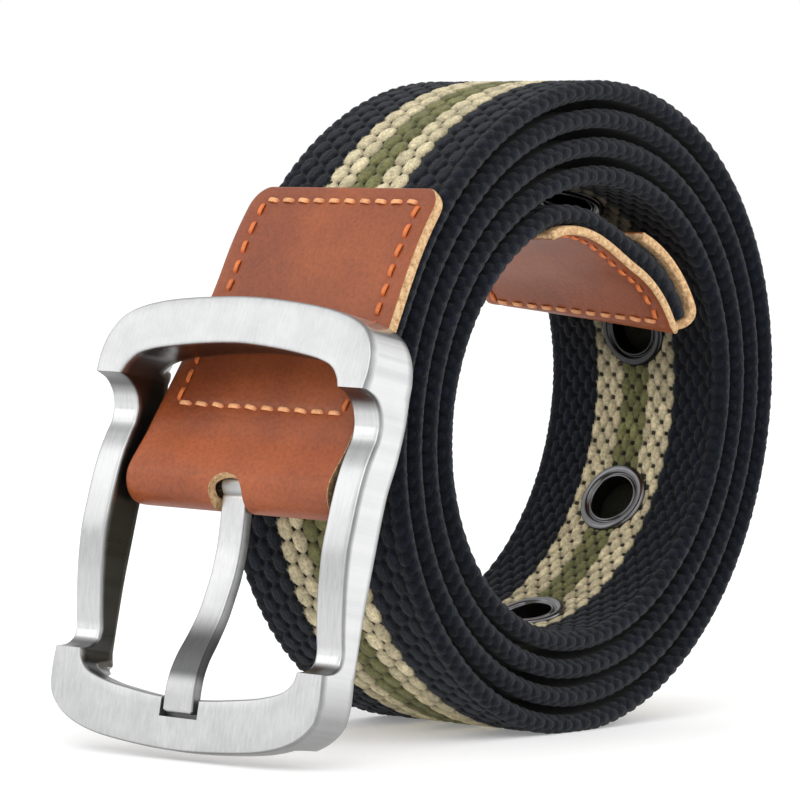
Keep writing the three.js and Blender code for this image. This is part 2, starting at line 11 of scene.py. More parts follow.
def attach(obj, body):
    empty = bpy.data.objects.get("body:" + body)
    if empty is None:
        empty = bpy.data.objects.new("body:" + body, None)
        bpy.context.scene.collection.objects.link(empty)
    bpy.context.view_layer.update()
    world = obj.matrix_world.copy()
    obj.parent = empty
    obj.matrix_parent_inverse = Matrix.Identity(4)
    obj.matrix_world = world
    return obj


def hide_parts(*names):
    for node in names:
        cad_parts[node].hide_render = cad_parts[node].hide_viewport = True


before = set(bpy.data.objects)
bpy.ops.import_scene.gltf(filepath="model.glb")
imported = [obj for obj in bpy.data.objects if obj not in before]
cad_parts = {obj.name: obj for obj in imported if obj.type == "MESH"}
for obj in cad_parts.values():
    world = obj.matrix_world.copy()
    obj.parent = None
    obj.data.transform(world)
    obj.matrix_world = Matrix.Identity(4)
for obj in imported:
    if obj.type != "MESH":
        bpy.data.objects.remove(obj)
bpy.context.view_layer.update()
chance = np.random.default_rng(38)

MM = 0.001
TINY = 1e-9

# How the belt lies on the floor
BELT_TURN = math.radians(-4.604755)
BELT_PLACE = np.array([15.2522, 0.1246, 52.8523])

# Web and coil
WEB_WIDTH = 38.0
WEB_THICKNESS = 3.0
WEB_LENGTH = 1209.2
HALF_WEB = WEB_THICKNESS / 2
WEB_END_SWELL = 0.5
COIL_RADIUS = 53.6
COIL_LOOSENESS = 1.0
COIL_PITCH = 3.65
LEAVE_ANGLE = 150
COIL_TURNS_OUT = 4
LEAVE_TOTAL = LEAVE_ANGLE + 360 * COIL_TURNS_OUT
COIL_OUTLINE = [0.970, 1.035, 1.015, 0.955, 0.970, 1.042, 1.043, 0.968]
COIL_SLACK = [0.40, 0.86, 0.98, 0.33, 0.02, 0.53, 0.93, 0.58]
ANGLE_STEP = 2
TAIL_STEPS = 20

# Leather tip
TIP_THICKNESS = 1.6
TIP_INNER_LENGTH = 37.6
TIP_OUTER_LENGTH = 12.8
TIP_WIDTH = 39.0
TIP_SLANT = math.radians(8)
TIP_CORNER = 2.2
TIP_DROP = 6.3
TIP_DROP_HOLD = 22.8
TIP_DROP_FADE = 28.2
REST_GAP = 0.3

# Buckle and tab
HINGE = np.array([-64.4, 0.0, -5.9])
HINGE_LEAN = math.radians(38)
FRAME_LEAN = math.radians(15.3)
FRAME_TWIST = math.radians(5.5)
HINGE_BAR_RADIUS = 1.2
HINGE_GAP = 0.25
PRONG_EYE_WALL = 0.7
EYE_INNER = HINGE_BAR_RADIUS + HINGE_GAP
EYE_OUTER = EYE_INNER + PRONG_EYE_WALL
TAB_THICKNESS = 1.9
FOLD_INNER = EYE_OUTER + REST_GAP
FOLD_OUTER = FOLD_INNER + TAB_THICKNESS
PANEL_INNER = HALF_WEB + REST_GAP
WEB_END_GAP = 1
HINGE_ROOM = FOLD_INNER + WEB_END_GAP
TAB_WIDTH = 40.3
TAB_FRONT_LENGTH = 52.3
TAB_BACK_LENGTH = 21.0
TAB_TAPER_LENGTH = 8.0
TAB_CORNER = 4.0
SLOT_WIDTH = 6.6
SLOT_FRONT_DEGREES = 110
SLOT_BACK_DEGREES = -70

# Eyelets
EYELET_COUNT = 6
EYELET_FIRST = 82.9
EYELET_SPACING = 31.0
EYELET_HOLE_RADIUS = 4.2
EYELET_FLANGE_RADIUS = 6.5
EYELET_RISE = 0.35

TIP_END = (TIP_WIDTH / 2) * math.tan(TIP_SLANT)
WEB_START = 2 * TIP_END + TIP_THICKNESS + REST_GAP


def smooth(x, start, end):
    u = np.clip((np.asarray(x, float) - start) / (end - start), 0, 1)
    return u * u * (3 - 2 * u)


def unit(v):
    return v / np.linalg.norm(v, axis=-1, keepdims=True)


def glow(x, middle, reach):
    """A bell that is 1 at its middle and fades over its reach."""
    return np.exp(-((x - middle) / reach) ** 2)


def hermite(u, p, q, m, n):
    """The cubic from p to q with slopes m and n, where u goes from 0 to 1."""
    return (
        (2 * u ** 3 - 3 * u ** 2 + 1) * p + (u ** 3 - 2 * u ** 2 + u) * m
        + (3 * u ** 2 - 2 * u ** 3) * q + (u ** 3 - u ** 2) * n
    )


def lengths_along(points):
    """Length from the first point to each point."""
    return np.concatenate([[0], np.cumsum(np.linalg.norm(np.diff(points, axis=0), axis=1))])


def round_table(values, degrees):
    """A smooth value between the rows of a table that goes once round the turn."""
    degrees = np.asarray(degrees, float)
    count = len(values)
    total = np.zeros_like(degrees)
    for row, value in enumerate(values):
        x = np.radians(degrees - 360 * row / count) / 2
        flat = np.abs(np.sin(x)) < TINY
        x = np.where(flat, 1.0, x)
        total += value * np.where(flat, 1.0, np.sin(count * x) / (count * np.tan(x)))
    return total


def spiral_radius(degrees):
    outline = COIL_RADIUS * round_table(COIL_OUTLINE, degrees)
    pitch = COIL_PITCH + COIL_LOOSENESS * round_table(COIL_SLACK, degrees)
    return outline - HALF_WEB - pitch * (LEAVE_TOTAL - np.asarray(degrees, float)) / 360


def polar(radius, degrees):
    angle = np.radians(degrees)
    return np.stack([radius * np.cos(angle), radius * np.sin(angle)], -1)


def tail_curve(share):
    """The stretch from the coil to the hinge bar."""
    leave = polar(spiral_radius(LEAVE_TOTAL), LEAVE_TOTAL)
    leave_way = unit(leave - polar(spiral_radius(LEAVE_TOTAL - 1), LEAVE_TOTAL - 1))
    arrive_way = np.array([-math.sin(HINGE_LEAN), -math.cos(HINGE_LEAN)])
    end = HINGE[[0, 2]]
    span = np.linalg.norm(leave - end)
    return hermite(np.asarray(share, float)[:, None], leave, end, leave_way * span, arrive_way * span)


def strap_line():
    """Points of the web's middle line from the free end to the hinge bar, and the tail's length."""
    tail_length = lengths_along(tail_curve(np.linspace(0, 1, 201)))[-1]
    angles = np.arange(LEAVE_TOTAL, 0, -ANGLE_STEP, float)
    turns = polar(spiral_radius(angles), angles)
    length = tail_length + lengths_along(turns)[1:]
    count = int(np.searchsorted(length, WEB_LENGTH + HINGE_ROOM)) + 1
    angles = angles[1:count + 1]
    from_end = length[count - 1] - length[:count]
    fall = TIP_DROP * (1 - smooth(from_end, TIP_DROP_HOLD, TIP_DROP_HOLD + TIP_DROP_FADE))
    coil = polar(spiral_radius(angles) - fall, angles)[::-1]
    tail = tail_curve(np.arange(TAIL_STEPS + 1) / TAIL_STEPS)
    return np.concatenate([coil, tail]), tail_length, angles[::-1]


LINE, TAIL_LENGTH, LINE_ANGLES = strap_line()
LINE_LENGTH = lengths_along(LINE)
STRAP_END = LINE_LENGTH[-1]
LINE_SLOPE = np.gradient(LINE, LINE_LENGTH, axis=0)


def line_at(s):
    """Position and direction of the middle line, on a smooth curve through its points."""
    s = np.asarray(s, float)
    i = np.clip(np.searchsorted(LINE_LENGTH, s, side="right") - 1, 0, len(LINE) - 2)
    h = LINE_LENGTH[i + 1] - LINE_LENGTH[i]
    u = ((s - LINE_LENGTH[i]) / h)[..., None]
    h = h[..., None]
    p, q, m, n = LINE[i], LINE[i + 1], LINE_SLOPE[i] * h, LINE_SLOPE[i + 1] * h
    inside = np.clip(u, 0, 1)
    way = unit(
        (6 * inside ** 2 - 6 * inside) * (p - q) + (3 * inside ** 2 - 4 * inside + 1) * m
        + (3 * inside ** 2 - 2 * inside) * n
    )
    return hermite(inside, p, q, m, n) + way * (u - inside) * h, way


def turned(vector, axis, angle):
    return (
        vector * math.cos(angle) + np.cross(axis, vector) * math.sin(angle)
        + axis * np.dot(axis, vector) * (1 - math.cos(angle))
    )


# The buckle's directions: across from far to near, up along the frame, and out of its front
FRAME_UP = np.array([math.sin(FRAME_LEAN), 0, math.cos(FRAME_LEAN)])
FRAME_ACROSS = turned(np.array([0.0, -1.0, 0.0]), FRAME_UP, FRAME_TWIST)
FRAME_FRONT = np.cross(FRAME_ACROSS, FRAME_UP)


def strap(s, w, t):
    """A point of the strap: s along it, w across it towards the far edge, t out of its outer face."""
    s, w, t = np.broadcast_arrays(np.asarray(s, float), w, t)
    point, way = line_at(s)
    share = smooth(s, STRAP_END - TAIL_LENGTH, STRAP_END - FOLD_OUTER)[..., None]
    across = unit(np.array([0.0, 1.0, 0.0]) * (1 - share) - FRAME_ACROSS * share)
    along = np.stack([way[..., 0], np.zeros_like(s), way[..., 1]], -1)
    out = unit(np.cross(across, along))
    middle = np.stack([point[..., 0], np.zeros_like(s), point[..., 1]], -1)
    return middle + across * w[..., None] + out * t[..., None]


def in_frame(x, y, z):
    """A point given in the buckle's own directions from the hinge bar's middle."""
    x, y, z = np.broadcast_arrays(np.asarray(x, float), y, z)
    return HINGE + FRAME_ACROSS * x[..., None] + FRAME_UP * y[..., None] + FRAME_FRONT * z[..., None]


def belt_turned(x, y, z):
    """A direction in the belt's axes as one in the frame's."""
    cos, sin = math.cos(BELT_TURN), math.sin(BELT_TURN)
    return cos * x + sin * z, y, cos * z - sin * x


def to_row(points):
    """Points in the belt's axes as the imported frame's metres, none of them below the floor."""
    row = np.stack(belt_turned(points[..., 0], points[..., 1], points[..., 2]), -1) + BELT_PLACE
    row[..., 2] = np.maximum(row[..., 2], 0)
    return row * MM


def web_half(s):
    """Half the web's thickness, which swells where its end is bound in the leather tip."""
    return HALF_WEB + WEB_END_SWELL * (1 - smooth(s, WEB_START, WEB_START + 2 * TIP_OUTER_LENGTH))


def slanted(s, w):
    """A length along the strap, shifted so that the free end is cut at a slant."""
    s = np.asarray(s, float)
    return s + math.tan(TIP_SLANT) * w * (1 - smooth(s, TIP_END, TIP_END + TIP_OUTER_LENGTH))


# Meshes

def linear(red, green, blue):
    """A colour given as it is seen on a screen, 0 to 255, as the shader wants it."""
    c = np.array([red, green, blue], float) / 255
    return np.where(c <= 0.04045, c / 12.92, ((c + 0.055) / 1.055) ** 2.4)


def linked(name, data):
    obj = bpy.data.objects.new(name, data)
    bpy.context.scene.collection.objects.link(obj)
    return obj


def add_mesh(name, points, faces, materials, body, colour, replaces=(), kinds=None, uv=None):
    """A smooth mesh riding on a body. colour is a colour or tone for each point, or one for all, and
    kinds tells which of the materials each face has."""
    mesh = bpy.data.meshes.new(name)
    mesh.from_pydata(points, [], faces)
    mesh.validate()
    for material in materials:
        mesh.materials.append(material)
    if kinds is not None:
        mesh.polygons.foreach_set("material_index", np.asarray(kinds, np.int32))
    tint = np.ones((len(points), 4), np.float32)
    tint[:, :3] = colour
    mesh.color_attributes.new("tint", "FLOAT_COLOR", "POINT").data.foreach_set("color", tint.ravel())
    if uv is not None:
        layer = mesh.uv_layers.new(name="along_across")
        corners = np.empty(len(mesh.loops), np.int32)
        mesh.loops.foreach_get("vertex_index", corners)
        layer.data.foreach_set("uv", uv[corners].astype(np.float32).ravel())
    mesh.shade_smooth()
    obj = linked(name, mesh)
    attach(obj, body)
    if replaces:
        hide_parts(*replaces)
    return obj


def grid_faces(rows, columns, close_rows=False, close_columns=False):
    i = np.arange(rows if close_rows else rows - 1)
    j = np.arange(columns if close_columns else columns - 1)
    i, j = np.meshgrid(i, j, indexing="ij")
    down, right = (i + 1) % rows, (j + 1) % columns
    return np.stack(
        [i * columns + j, i * columns + right, down * columns + right, down * columns + j], -1
    ).reshape(-1, 4)


def faces_out(points, faces):
    """The faces turned so that the closed form's outside is out."""
    p = points[faces]
    middle = points.mean(0)
    volume = np.einsum("ij,ij->i", p[:, 0] - middle, np.cross(p[:, 1] - p[:, 0], p[:, 2] - p[:, 0])).sum()
    return faces if volume > 0 else faces[:, ::-1]


def capped_faces(points, rows, around):
    """Faces of a tube closed at both ends, with its outside out."""
    plain = grid_faces(rows, around, close_columns=True)
    faces = faces_out(points, plain)
    first = list(range(around))
    last = list(range((rows - 1) * around, rows * around))
    first, last = (first[::-1], last) if faces is plain else (first, last[::-1])
    return [list(map(int, f)) for f in faces] + [first, last]


def closed_form(name, points, faces, material):
    """A closed form for cut(), with its outside out."""
    mesh = bpy.data.meshes.new(name)
    mesh.from_pydata(points, [], faces)
    mesh.validate()
    mesh.materials.append(material)
    obj = linked(name, mesh)
    bpy.context.view_layer.objects.active = obj
    bpy.ops.object.mode_set(mode="EDIT")
    bpy.ops.mesh.select_all(action="SELECT")
    bpy.ops.mesh.normals_make_consistent(inside=False)
    bpy.ops.object.mode_set(mode="OBJECT")
    return obj


def cut(obj, cutter):
    """Cuts the cutter out of the object and removes the cutter."""
    modifier = obj.modifiers.new("cut", "BOOLEAN")
    modifier.operation = "DIFFERENCE"
    modifier.solver = "EXACT"
    modifier.material_mode = "TRANSFER"
    modifier.object = cutter
    graph = bpy.context.evaluated_depsgraph_get()
    mesh = bpy.data.meshes.new_from_object(obj.evaluated_get(graph))
    obj.modifiers.remove(modifier)
    obj.data = mesh
    bpy.data.objects.remove(cutter)
    mesh.set_sharp_from_angle(angle=math.radians(42))


# Materials

class Surface:
    """A material, with the nodes that feed its shader."""

    def __init__(self, name, **inputs):
        self.material = bpy.data.materials.new(name)
        self.material.use_nodes = True
        tree = self.material.node_tree
        self.nodes, self.links = tree.nodes, tree.links
        self.shader = self.nodes["Principled BSDF"]
        for key, value in inputs.items():
            self.shader.inputs[key.replace("_", " ")].default_value = value

    def node(self, kind, **values):
        """A new node. A value named in_ and a socket's name fills that socket, or is linked to it."""
        made = self.nodes.new(kind)
        for key, value in values.items():
            if not key.startswith("in_"):
                setattr(made, key, value)
                continue
            socket = made.inputs[key[3:].replace("_", " ")]
            if isinstance(value, bpy.types.NodeSocket):
                self.links.new(value, socket)
            else:
                socket.default_value = value
        return made

    def feed(self, name, value):
        self.links.new(value, self.shader.inputs[name])

    def bring_places(self):
        """Makes the place on the object, the place along the web or frame, and the mesh's tint."""
        place = self.node("ShaderNodeTexCoord")
        self.spot = place.outputs["Object"]
        self.along = place.outputs["UV"]
        self.tint = self.node("ShaderNodeAttribute", attribute_name="tint").outputs["Color"]
        self.normal = None
        return self

    def stretched(self, scale):
        return self.node("ShaderNodeMapping", in_Scale=scale, in_Vector=self.along).outputs["Vector"]

    def noise(self, scale, detail, rough, place=None):
        where = self.spot if place is None else place
        return self.node(
            "ShaderNodeTexNoise", in_Scale=scale, in_Detail=detail, in_Roughness=rough, in_Vector=where
        ).outputs["Fac"]

    def cells(self, scale, place=None):
        where = self.spot if place is None else place
        return self.node("ShaderNodeTexVoronoi", in_Scale=scale, in_Vector=where).outputs["Distance"]

    def ramp(self, value, low, high, low_at=0.0, high_at=1.0):
        """A colour or grey between low and high."""
        made = self.node("ShaderNodeValToRGB", in_Fac=value)
        for stop, tone, at in zip(made.color_ramp.elements, (low, high), (low_at, high_at)):
            stop.position = at
            stop.color = (*np.broadcast_to(tone, 3), 1)
        return made.outputs["Color"]

    def colour(self, first, *others):
        """Feeds the product of the colours to the shader."""
        for other in others:
            first = self.node(
                "ShaderNodeMix", data_type="RGBA", blend_type="MULTIPLY",
                in_Factor=1.0, in_A=first, in_B=other,
            ).outputs["Result"]
        self.feed("Base Color", first)

    def bump(self, height, strength, distance):
        """Adds relief to what the shader has so far."""
        made = self.node("ShaderNodeBump", in_Strength=strength, in_Distance=distance * MM, in_Height=height)
        if self.normal is not None:
            self.links.new(self.normal, made.inputs["Normal"])
        self.normal = made.outputs["Normal"]
        self.feed("Normal", self.normal)


def cotton():
    """Coarse cotton yarn: the mesh carries its colours, and its yarns run along the web."""
    made = Surface(
        "cotton_web", Roughness=0.95, Specular_IOR_Level=0.15, Sheen_Weight=0.12, Sheen_Roughness=0.5
    ).bring_places()
    fibre = made.noise(1900, 5, 0.7)
    fluff = made.noise(420, 3, 0.6)
    strands = made.noise(1.0, 3, 0.6, made.stretched((300, 2400, 1)))
    ply = made.cells(1.0, made.stretched((620, 1500, 1)))
    made.colour(made.tint, made.ramp(fibre, 0.45, 1.5, 0.25, 0.8), made.ramp(fluff, 0.72, 1.25, 0.3, 0.7))
    made.bump(strands, 0.5, 0.25)
    made.bump(ply, -0.55, 0.35)
    made.bump(fibre, 0.8, 0.35)
    return made.material


def leather():
    made = Surface("tan_leather", Roughness=0.46, Specular_IOR_Level=0.5).bring_places()
    pore = made.noise(1500, 4, 0.6)
    tan = made.ramp(made.noise(55, 4, 0.55), linear(136, 64, 28), linear(172, 88, 40), 0.3, 0.72)
    made.colour(tan, made.tint, made.ramp(pore, (0.78, 0.76, 0.74), 1.08, 0.3, 0.6))
    made.bump(made.cells(1300), 0.12, 0.2)
    made.bump(pore, 0.18, 0.2)
    made.bump(made.noise(260, 3, 0.5), 0.12, 0.5)
    return made.material


def raw_edge():
    """The cut edge and flesh side of the leather."""
    made = Surface("raw_leather_edge", Roughness=0.95, Specular_IOR_Level=0.1).bring_places()
    fibre = made.noise(1300, 5, 0.7)
    made.colour(made.ramp(fibre, linear(158, 110, 72), linear(230, 196, 150), 0.3, 0.62), made.tint)
    made.bump(fibre, 0.8, 0.4)
    return made.material


def thread():
    made = Surface("stitch_thread", Roughness=0.7).bring_places()
    fibre = made.noise(2600, 3, 0.6)
    made.colour(made.tint, made.ramp(fibre, 0.75, 1.2, 0.3, 0.7))
    made.bump(fibre, 0.4, 0.2)
    return made.material


def silver(name, streaks, rough, mottle):
    """Cast alloy, finely brushed: streaks is the brushing's scale across and along the frame."""
    made = Surface(name, Metallic=1.0).bring_places()
    line = made.noise(1.0, 4, 0.65, made.stretched(streaks))
    stain = made.ramp(made.noise(180, 5, 0.65), 1 - mottle, 1 + mottle / 2, 0.35, 0.65)
    made.colour(made.ramp(line, (0.50, 0.505, 0.51), 0.62, 0.3, 0.7), made.tint, stain)
    made.feed("Roughness", made.ramp(line, *rough, 0.3, 0.7))
    made.bump(line, 0.10, 0.1)
    made.bump(made.noise(1700, 3, 0.6), 0.05, 0.1)
    return made.material


def gunmetal():
    made = Surface("gunmetal", Metallic=1.0).bring_places()
    cloud = made.noise(500, 3, 0.5)
    made.colour(made.ramp(cloud, (0.11, 0.11, 0.115), (0.20, 0.20, 0.205)), made.tint)
    made.feed("Roughness", made.ramp(cloud, 0.16, 0.30))
    return made.material


COTTON = cotton()
LEATHER = leather()
RAW_EDGE = raw_edge()
THREAD = thread()
SATIN = silver("satin_metal", (2600, 300, 1), (0.34, 0.46), 0.08)
POLISHED = silver("polished_metal", (2200, 260, 1), (0.26, 0.36), 0.03)
GUNMETAL = gunmetal()

NAVY = linear(14, 20, 31)
CREAM = linear(218, 205, 168)
OLIVE = linear(122, 121, 78)

# Weave. The outer face has broad columns of staggered floats, the inner face columns half as wide,
# and each edge has three columns rolled round it.
FLOAT_LENGTH = 4.0
OUTER_COLUMN = 2.77
OUTER_COLUMNS = 12
INNER_COLUMN = OUTER_COLUMN / 2
INNER_COLUMNS = 2 * OUTER_COLUMNS
FACE_HALF = OUTER_COLUMN * OUTER_COLUMNS / 2
EDGE_RADIUS = HALF_WEB
EDGE_LENGTH = math.pi * EDGE_RADIUS + 2 * (WEB_WIDTH / 2 - EDGE_RADIUS - FACE_HALF)
EDGE_COLUMNS = 3
EDGE_COLUMN = EDGE_LENGTH / EDGE_COLUMNS
EDGE_FLOAT = 2.4


def weave(q, s, width, sway, first, length=FLOAT_LENGTH):
    """Which float a place lies on, and where on it: q across from the first column's start."""
    swing = sway * width * np.cos(2 * np.pi * s / length)

    def sign(k):
        return np.where((k + first) % 2 == 1, -1.0, 1.0)

    c = np.floor(q / width)
    c = c - (q < c * width + sign(c) * swing) + (q > (c + 1) * width + sign(c + 1) * swing)
    left = c * width + sign(c) * swing
    right = (c + 1) * width + sign(c + 1) * swing
    u = 2 * (q - left) / (right - left) - 1
    turns = s / length + 0.5 * ((c + first) % 2)
    v = 2 * (turns - np.floor(turns)) - 1
    return c.astype(int), np.floor(turns).astype(int), np.clip(u, -1, 1), v


def broad_float(u, v):
    rise = np.sqrt(1 - np.abs(u) ** 3) * np.sqrt(1 - np.abs(v) ** 7)
    hole = glow(np.abs(v), 1, 0.27) * glow(np.abs(u), 1, 0.5)
    return rise, hole


def narrow_float(u, v):
    rise = np.sqrt(1 - u ** 2) * (1 - np.abs(v) ** 3) ** 0.6
    hole = glow(np.abs(v), 1, 0.15) * (1 - u ** 2)
    return rise, hole


SHADE_COLUMNS = 64
SHADE_ROWS = 512
SHADES = chance.uniform(0.84, 1.14, (SHADE_COLUMNS, SHADE_ROWS))


def shaded(base, column, row, rise, hole):
    """Colours of floats, each of its own random tone, with painted shade where it dives and in the holes
    between floats.
    """
    tone = SHADES[column % SHADE_COLUMNS, row % SHADE_ROWS]
    # Painted shade: floats darken where they dive under their neighbours and in the holes between them.
    dive_shade = (0.34 + 0.66 * rise ** 0.7) * (1 - 0.9 * hole)
    return base * (tone * dive_shade)[..., None]


def stripe(column, columns):
    """Colour of a face's column: navy, cream, olive, cream, navy."""
    share = np.abs((column + 0.5) / columns - 0.5) * 12
    base = np.where((share < 1)[..., None], OLIVE, CREAM)
    return np.where((share > 3)[..., None], NAVY, base)


def eyelet_at(index):
    return WEB_START + EYELET_FIRST + index * EYELET_SPACING


def from_eyelets(s, w):
    """Distance from the nearest eyelet's middle."""
    return np.min([np.hypot(s - eyelet_at(index), w) for index in range(EYELET_COUNT)], axis=0)


def length_at(degrees):
    return float(np.interp(degrees, LINE_ANGLES, LINE_LENGTH[: len(LINE_ANGLES)]))


RELIEF_STEP = 0.4
FACE_PEAK = HALF_WEB + 0.08
FLOAT_RISE = 0.52
HOLE_DEPTH = 0.85
FUZZ = 0.03
EYELET_SINK = 0.4
CORE_DEPTH = 0.45
CORE_SHADE = 0.07
EDGE_SHADES = 40

# Each face's weave: its columns and their width, the points across one, their sway and their form
OUTER_WEAVE = (OUTER_COLUMNS, OUTER_COLUMN, 8, 0.05, broad_float)
INNER_WEAVE = (INNER_COLUMNS, INNER_COLUMN, 5, 0.16, narrow_float)

# From here on the web's inner face has the next turn lying over it, and little light
HIDDEN_DEGREES = 325
HIDDEN_FROM = length_at(LINE_ANGLES[0] + HIDDEN_DEGREES)
HIDDEN_FADE = 25
HIDDEN_SHADE = 0.75
BEFORE_TAIL = 25
TAIL_START = STRAP_END - TAIL_LENGTH - BEFORE_TAIL


def relief_stations(start, end):
    return np.linspace(start, end, int(round((end - start) / RELIEF_STEP)) + 1)


def web_face(name, start, end, side):
    """One face of the web in full relief; side is 1 for the outer face and -1 for the inner."""
    outer = side > 0
    columns, width, points_across, sway, form = OUTER_WEAVE if outer else INNER_WEAVE
    across = np.linspace(0, 2 * FACE_HALF, columns * points_across + 1)
    s, q = np.meshgrid(relief_stations(start, end), across, indexing="ij")
    w = q - FACE_HALF
    column, row, u, v = weave(q, s, width, sway, 0)
    column = np.clip(column, 0, columns - 1)
    rise, hole = form(u, v)
    rise = np.where(np.abs(w) > FACE_HALF - TINY, 0, rise)
    away = from_eyelets(s, w)
    sink = EYELET_SINK * (1 - smooth(away, EYELET_FLANGE_RADIUS - 0.4, EYELET_FLANGE_RADIUS + 1.2))
    lift = FACE_PEAK - FLOAT_RISE * (1 - rise) - HOLE_DEPTH * hole - sink
    lift = lift + chance.normal(0, FUZZ, lift.shape)
    t = side * (lift + web_half(s) - HALF_WEB)
    points = to_row(strap(slanted(s, w), w, t)).reshape(-1, 3)
    tint = shaded(stripe(column, columns), column, row, rise, hole)
    if not outer:
        hidden = smooth(s, HIDDEN_FROM, HIDDEN_FROM + HIDDEN_FADE) * (s < TAIL_START)
        tint = tint * (1 - HIDDEN_SHADE * hidden)[..., None]
    faces = grid_faces(*s.shape)
    faces = faces[away.reshape(-1)[faces].min(1) > EYELET_HOLE_RADIUS + 0.3]
    if outer:
        faces = faces[:, ::-1]
    uv = np.stack([s, w], -1).reshape(-1, 2) * MM
    add_mesh(name, points, faces, [COTTON], "strap", colour=tint.reshape(-1, 3), uv=uv)


def web_core(name, start, end, face_stops, replaces=()):
    """The web's two rolled edges in relief, and plain faces a little below the woven ones, painted nearly
    black as painted shade.
    """
    stops = np.linspace(0, EDGE_LENGTH, 6 * EDGE_COLUMNS + 1)
    flat = WEB_WIDTH / 2 - EDGE_RADIUS - FACE_HALF
    angle = np.clip((stops - flat) / EDGE_RADIUS, 0, math.pi)
    over = np.clip(flat - stops, 0, None)
    under = np.clip(stops - flat - math.pi * EDGE_RADIUS, 0, None)
    out_w, out_t = np.sin(angle), np.cos(angle)
    edge_w = FACE_HALF + flat + EDGE_RADIUS * out_w - over - under
    edge_t = EDGE_RADIUS * out_t
    along = relief_stations(start, end)
    s, q = np.meshgrid(along, stops, indexing="ij")
    rolls = {}
    for side, first in ((1, 0), (-1, 1)):
        column, row, u, v = weave(q, s, EDGE_COLUMN, 0.12, first, EDGE_FLOAT)
        rise, hole = narrow_float(u, v)
        lift = 0.12 - 0.5 * (1 - rise) - 0.1 * hole + chance.normal(0, FUZZ, rise.shape)
        w = side * (edge_w + out_w * lift)
        t = (edge_t + out_t * lift) * web_half(s) / HALF_WEB
        tint = shaded(np.broadcast_to(NAVY, (*s.shape, 3)), column + EDGE_SHADES, row, rise, hole)
        rolls[side] = (strap(slanted(s, w), w, t), tint)
    face_w = np.array(face_stops, float)
    fs, fw = np.meshgrid(along, face_w, indexing="ij")
    drop = web_half(fs) - CORE_DEPTH
    column = np.clip(np.floor((fw + FACE_HALF) / OUTER_COLUMN), 0, OUTER_COLUMNS - 1)
    # Painted shade: the plain faces under the woven ones take their stripe's colour darkened almost to
    # black.
    painted_core_shade = stripe(column, OUTER_COLUMNS) * CORE_SHADE
    parts = [
        (strap(slanted(fs, fw), fw, drop), painted_core_shade),
        rolls[1],
        (strap(slanted(fs, -fw), -fw, -drop), painted_core_shade),
        (rolls[-1][0][:, ::-1], rolls[-1][1][:, ::-1]),
    ]
    points = to_row(np.concatenate([p for p, _ in parts], 1))
    tint = np.concatenate([c for _, c in parts], 1).reshape(-1, 3)
    rows, columns = points.shape[:2]
    points = points.reshape(-1, 3)
    all_s = np.repeat(along, columns)
    all_w = np.tile(np.concatenate([face_w, edge_w, -face_w, -edge_w]), rows)
    faces = grid_faces(rows, columns, close_columns=True)
    faces = faces[from_eyelets(all_s, all_w)[faces].min(1) > EYELET_HOLE_RADIUS + 0.2]
    add_mesh(
        name, points, faces_out(points, faces), [COTTON], "strap",
        replaces=replaces, colour=tint, uv=np.stack([all_s, all_w], -1) * MM,
    )


HALF_STOPS = [1.2, 2.4, 3.6, 4.6, 5.6, 9, 15.6]
PLAIN_STOPS = [-15.6, 0, 15.6]
HOLED_STOPS = [-stop for stop in HALF_STOPS[::-1]] + [0] + HALF_STOPS
PAST_EYELETS = 12
EYELETS_END = eyelet_at(EYELET_COUNT - 1) + PAST_EYELETS
WEB_END = STRAP_END - HINGE_ROOM
TURNS_MIDDLE = (EYELETS_END + WEB_END) / 2
web_core("web_inner_turn", TIP_END + 2.6, EYELETS_END, HOLED_STOPS, replaces=("strap_web",))
web_core("web_middle_turns", EYELETS_END, TURNS_MIDDLE, PLAIN_STOPS)
web_core("web_outer_turns", TURNS_MIDDLE, WEB_END, PLAIN_STOPS)

# The stretches of the faces that can be seen, each running a little under the leather
UNDER_LEATHER = 2
OPEN_DEGREES = 375
INNER_DEGREES = 420
TIP_FACE_LENGTH = 58
OPEN_START = length_at(LEAVE_TOTAL - OPEN_DEGREES)
OPEN_END = STRAP_END - TAB_FRONT_LENGTH
OPEN_MIDDLE = (OPEN_START + OPEN_END) / 2
TIP_INNER_END = WEB_START + TIP_INNER_LENGTH
TIP_OUTER_END = WEB_START + TIP_OUTER_LENGTH
web_face("web_outer_face_low", OPEN_START, OPEN_MIDDLE, 1)
web_face("web_outer_face_high", OPEN_MIDDLE, OPEN_END + 3, 1)
web_face("web_inner_face", TIP_INNER_END - UNDER_LEATHER, length_at(LINE_ANGLES[0] + INNER_DEGREES), -1)
web_face("web_tail_inner_face", TAIL_START, STRAP_END - TAB_BACK_LENGTH + UNDER_LEATHER, -1)
web_face("web_tip_outer_face", TIP_OUTER_END - UNDER_LEATHER, TIP_OUTER_END + TIP_FACE_LENGTH, 1)


# Leather sheets

EDGE_STOPS = [(-0.45, 1.0), (-0.30, 0.97), (-0.14, 0.90), (-0.03, 0.80), (0.0, 0.66), (0.03, 0.5),
              (0.0, 0.34), (-0.03, 0.2), (-0.14, 0.1), (-0.30, 0.03)]


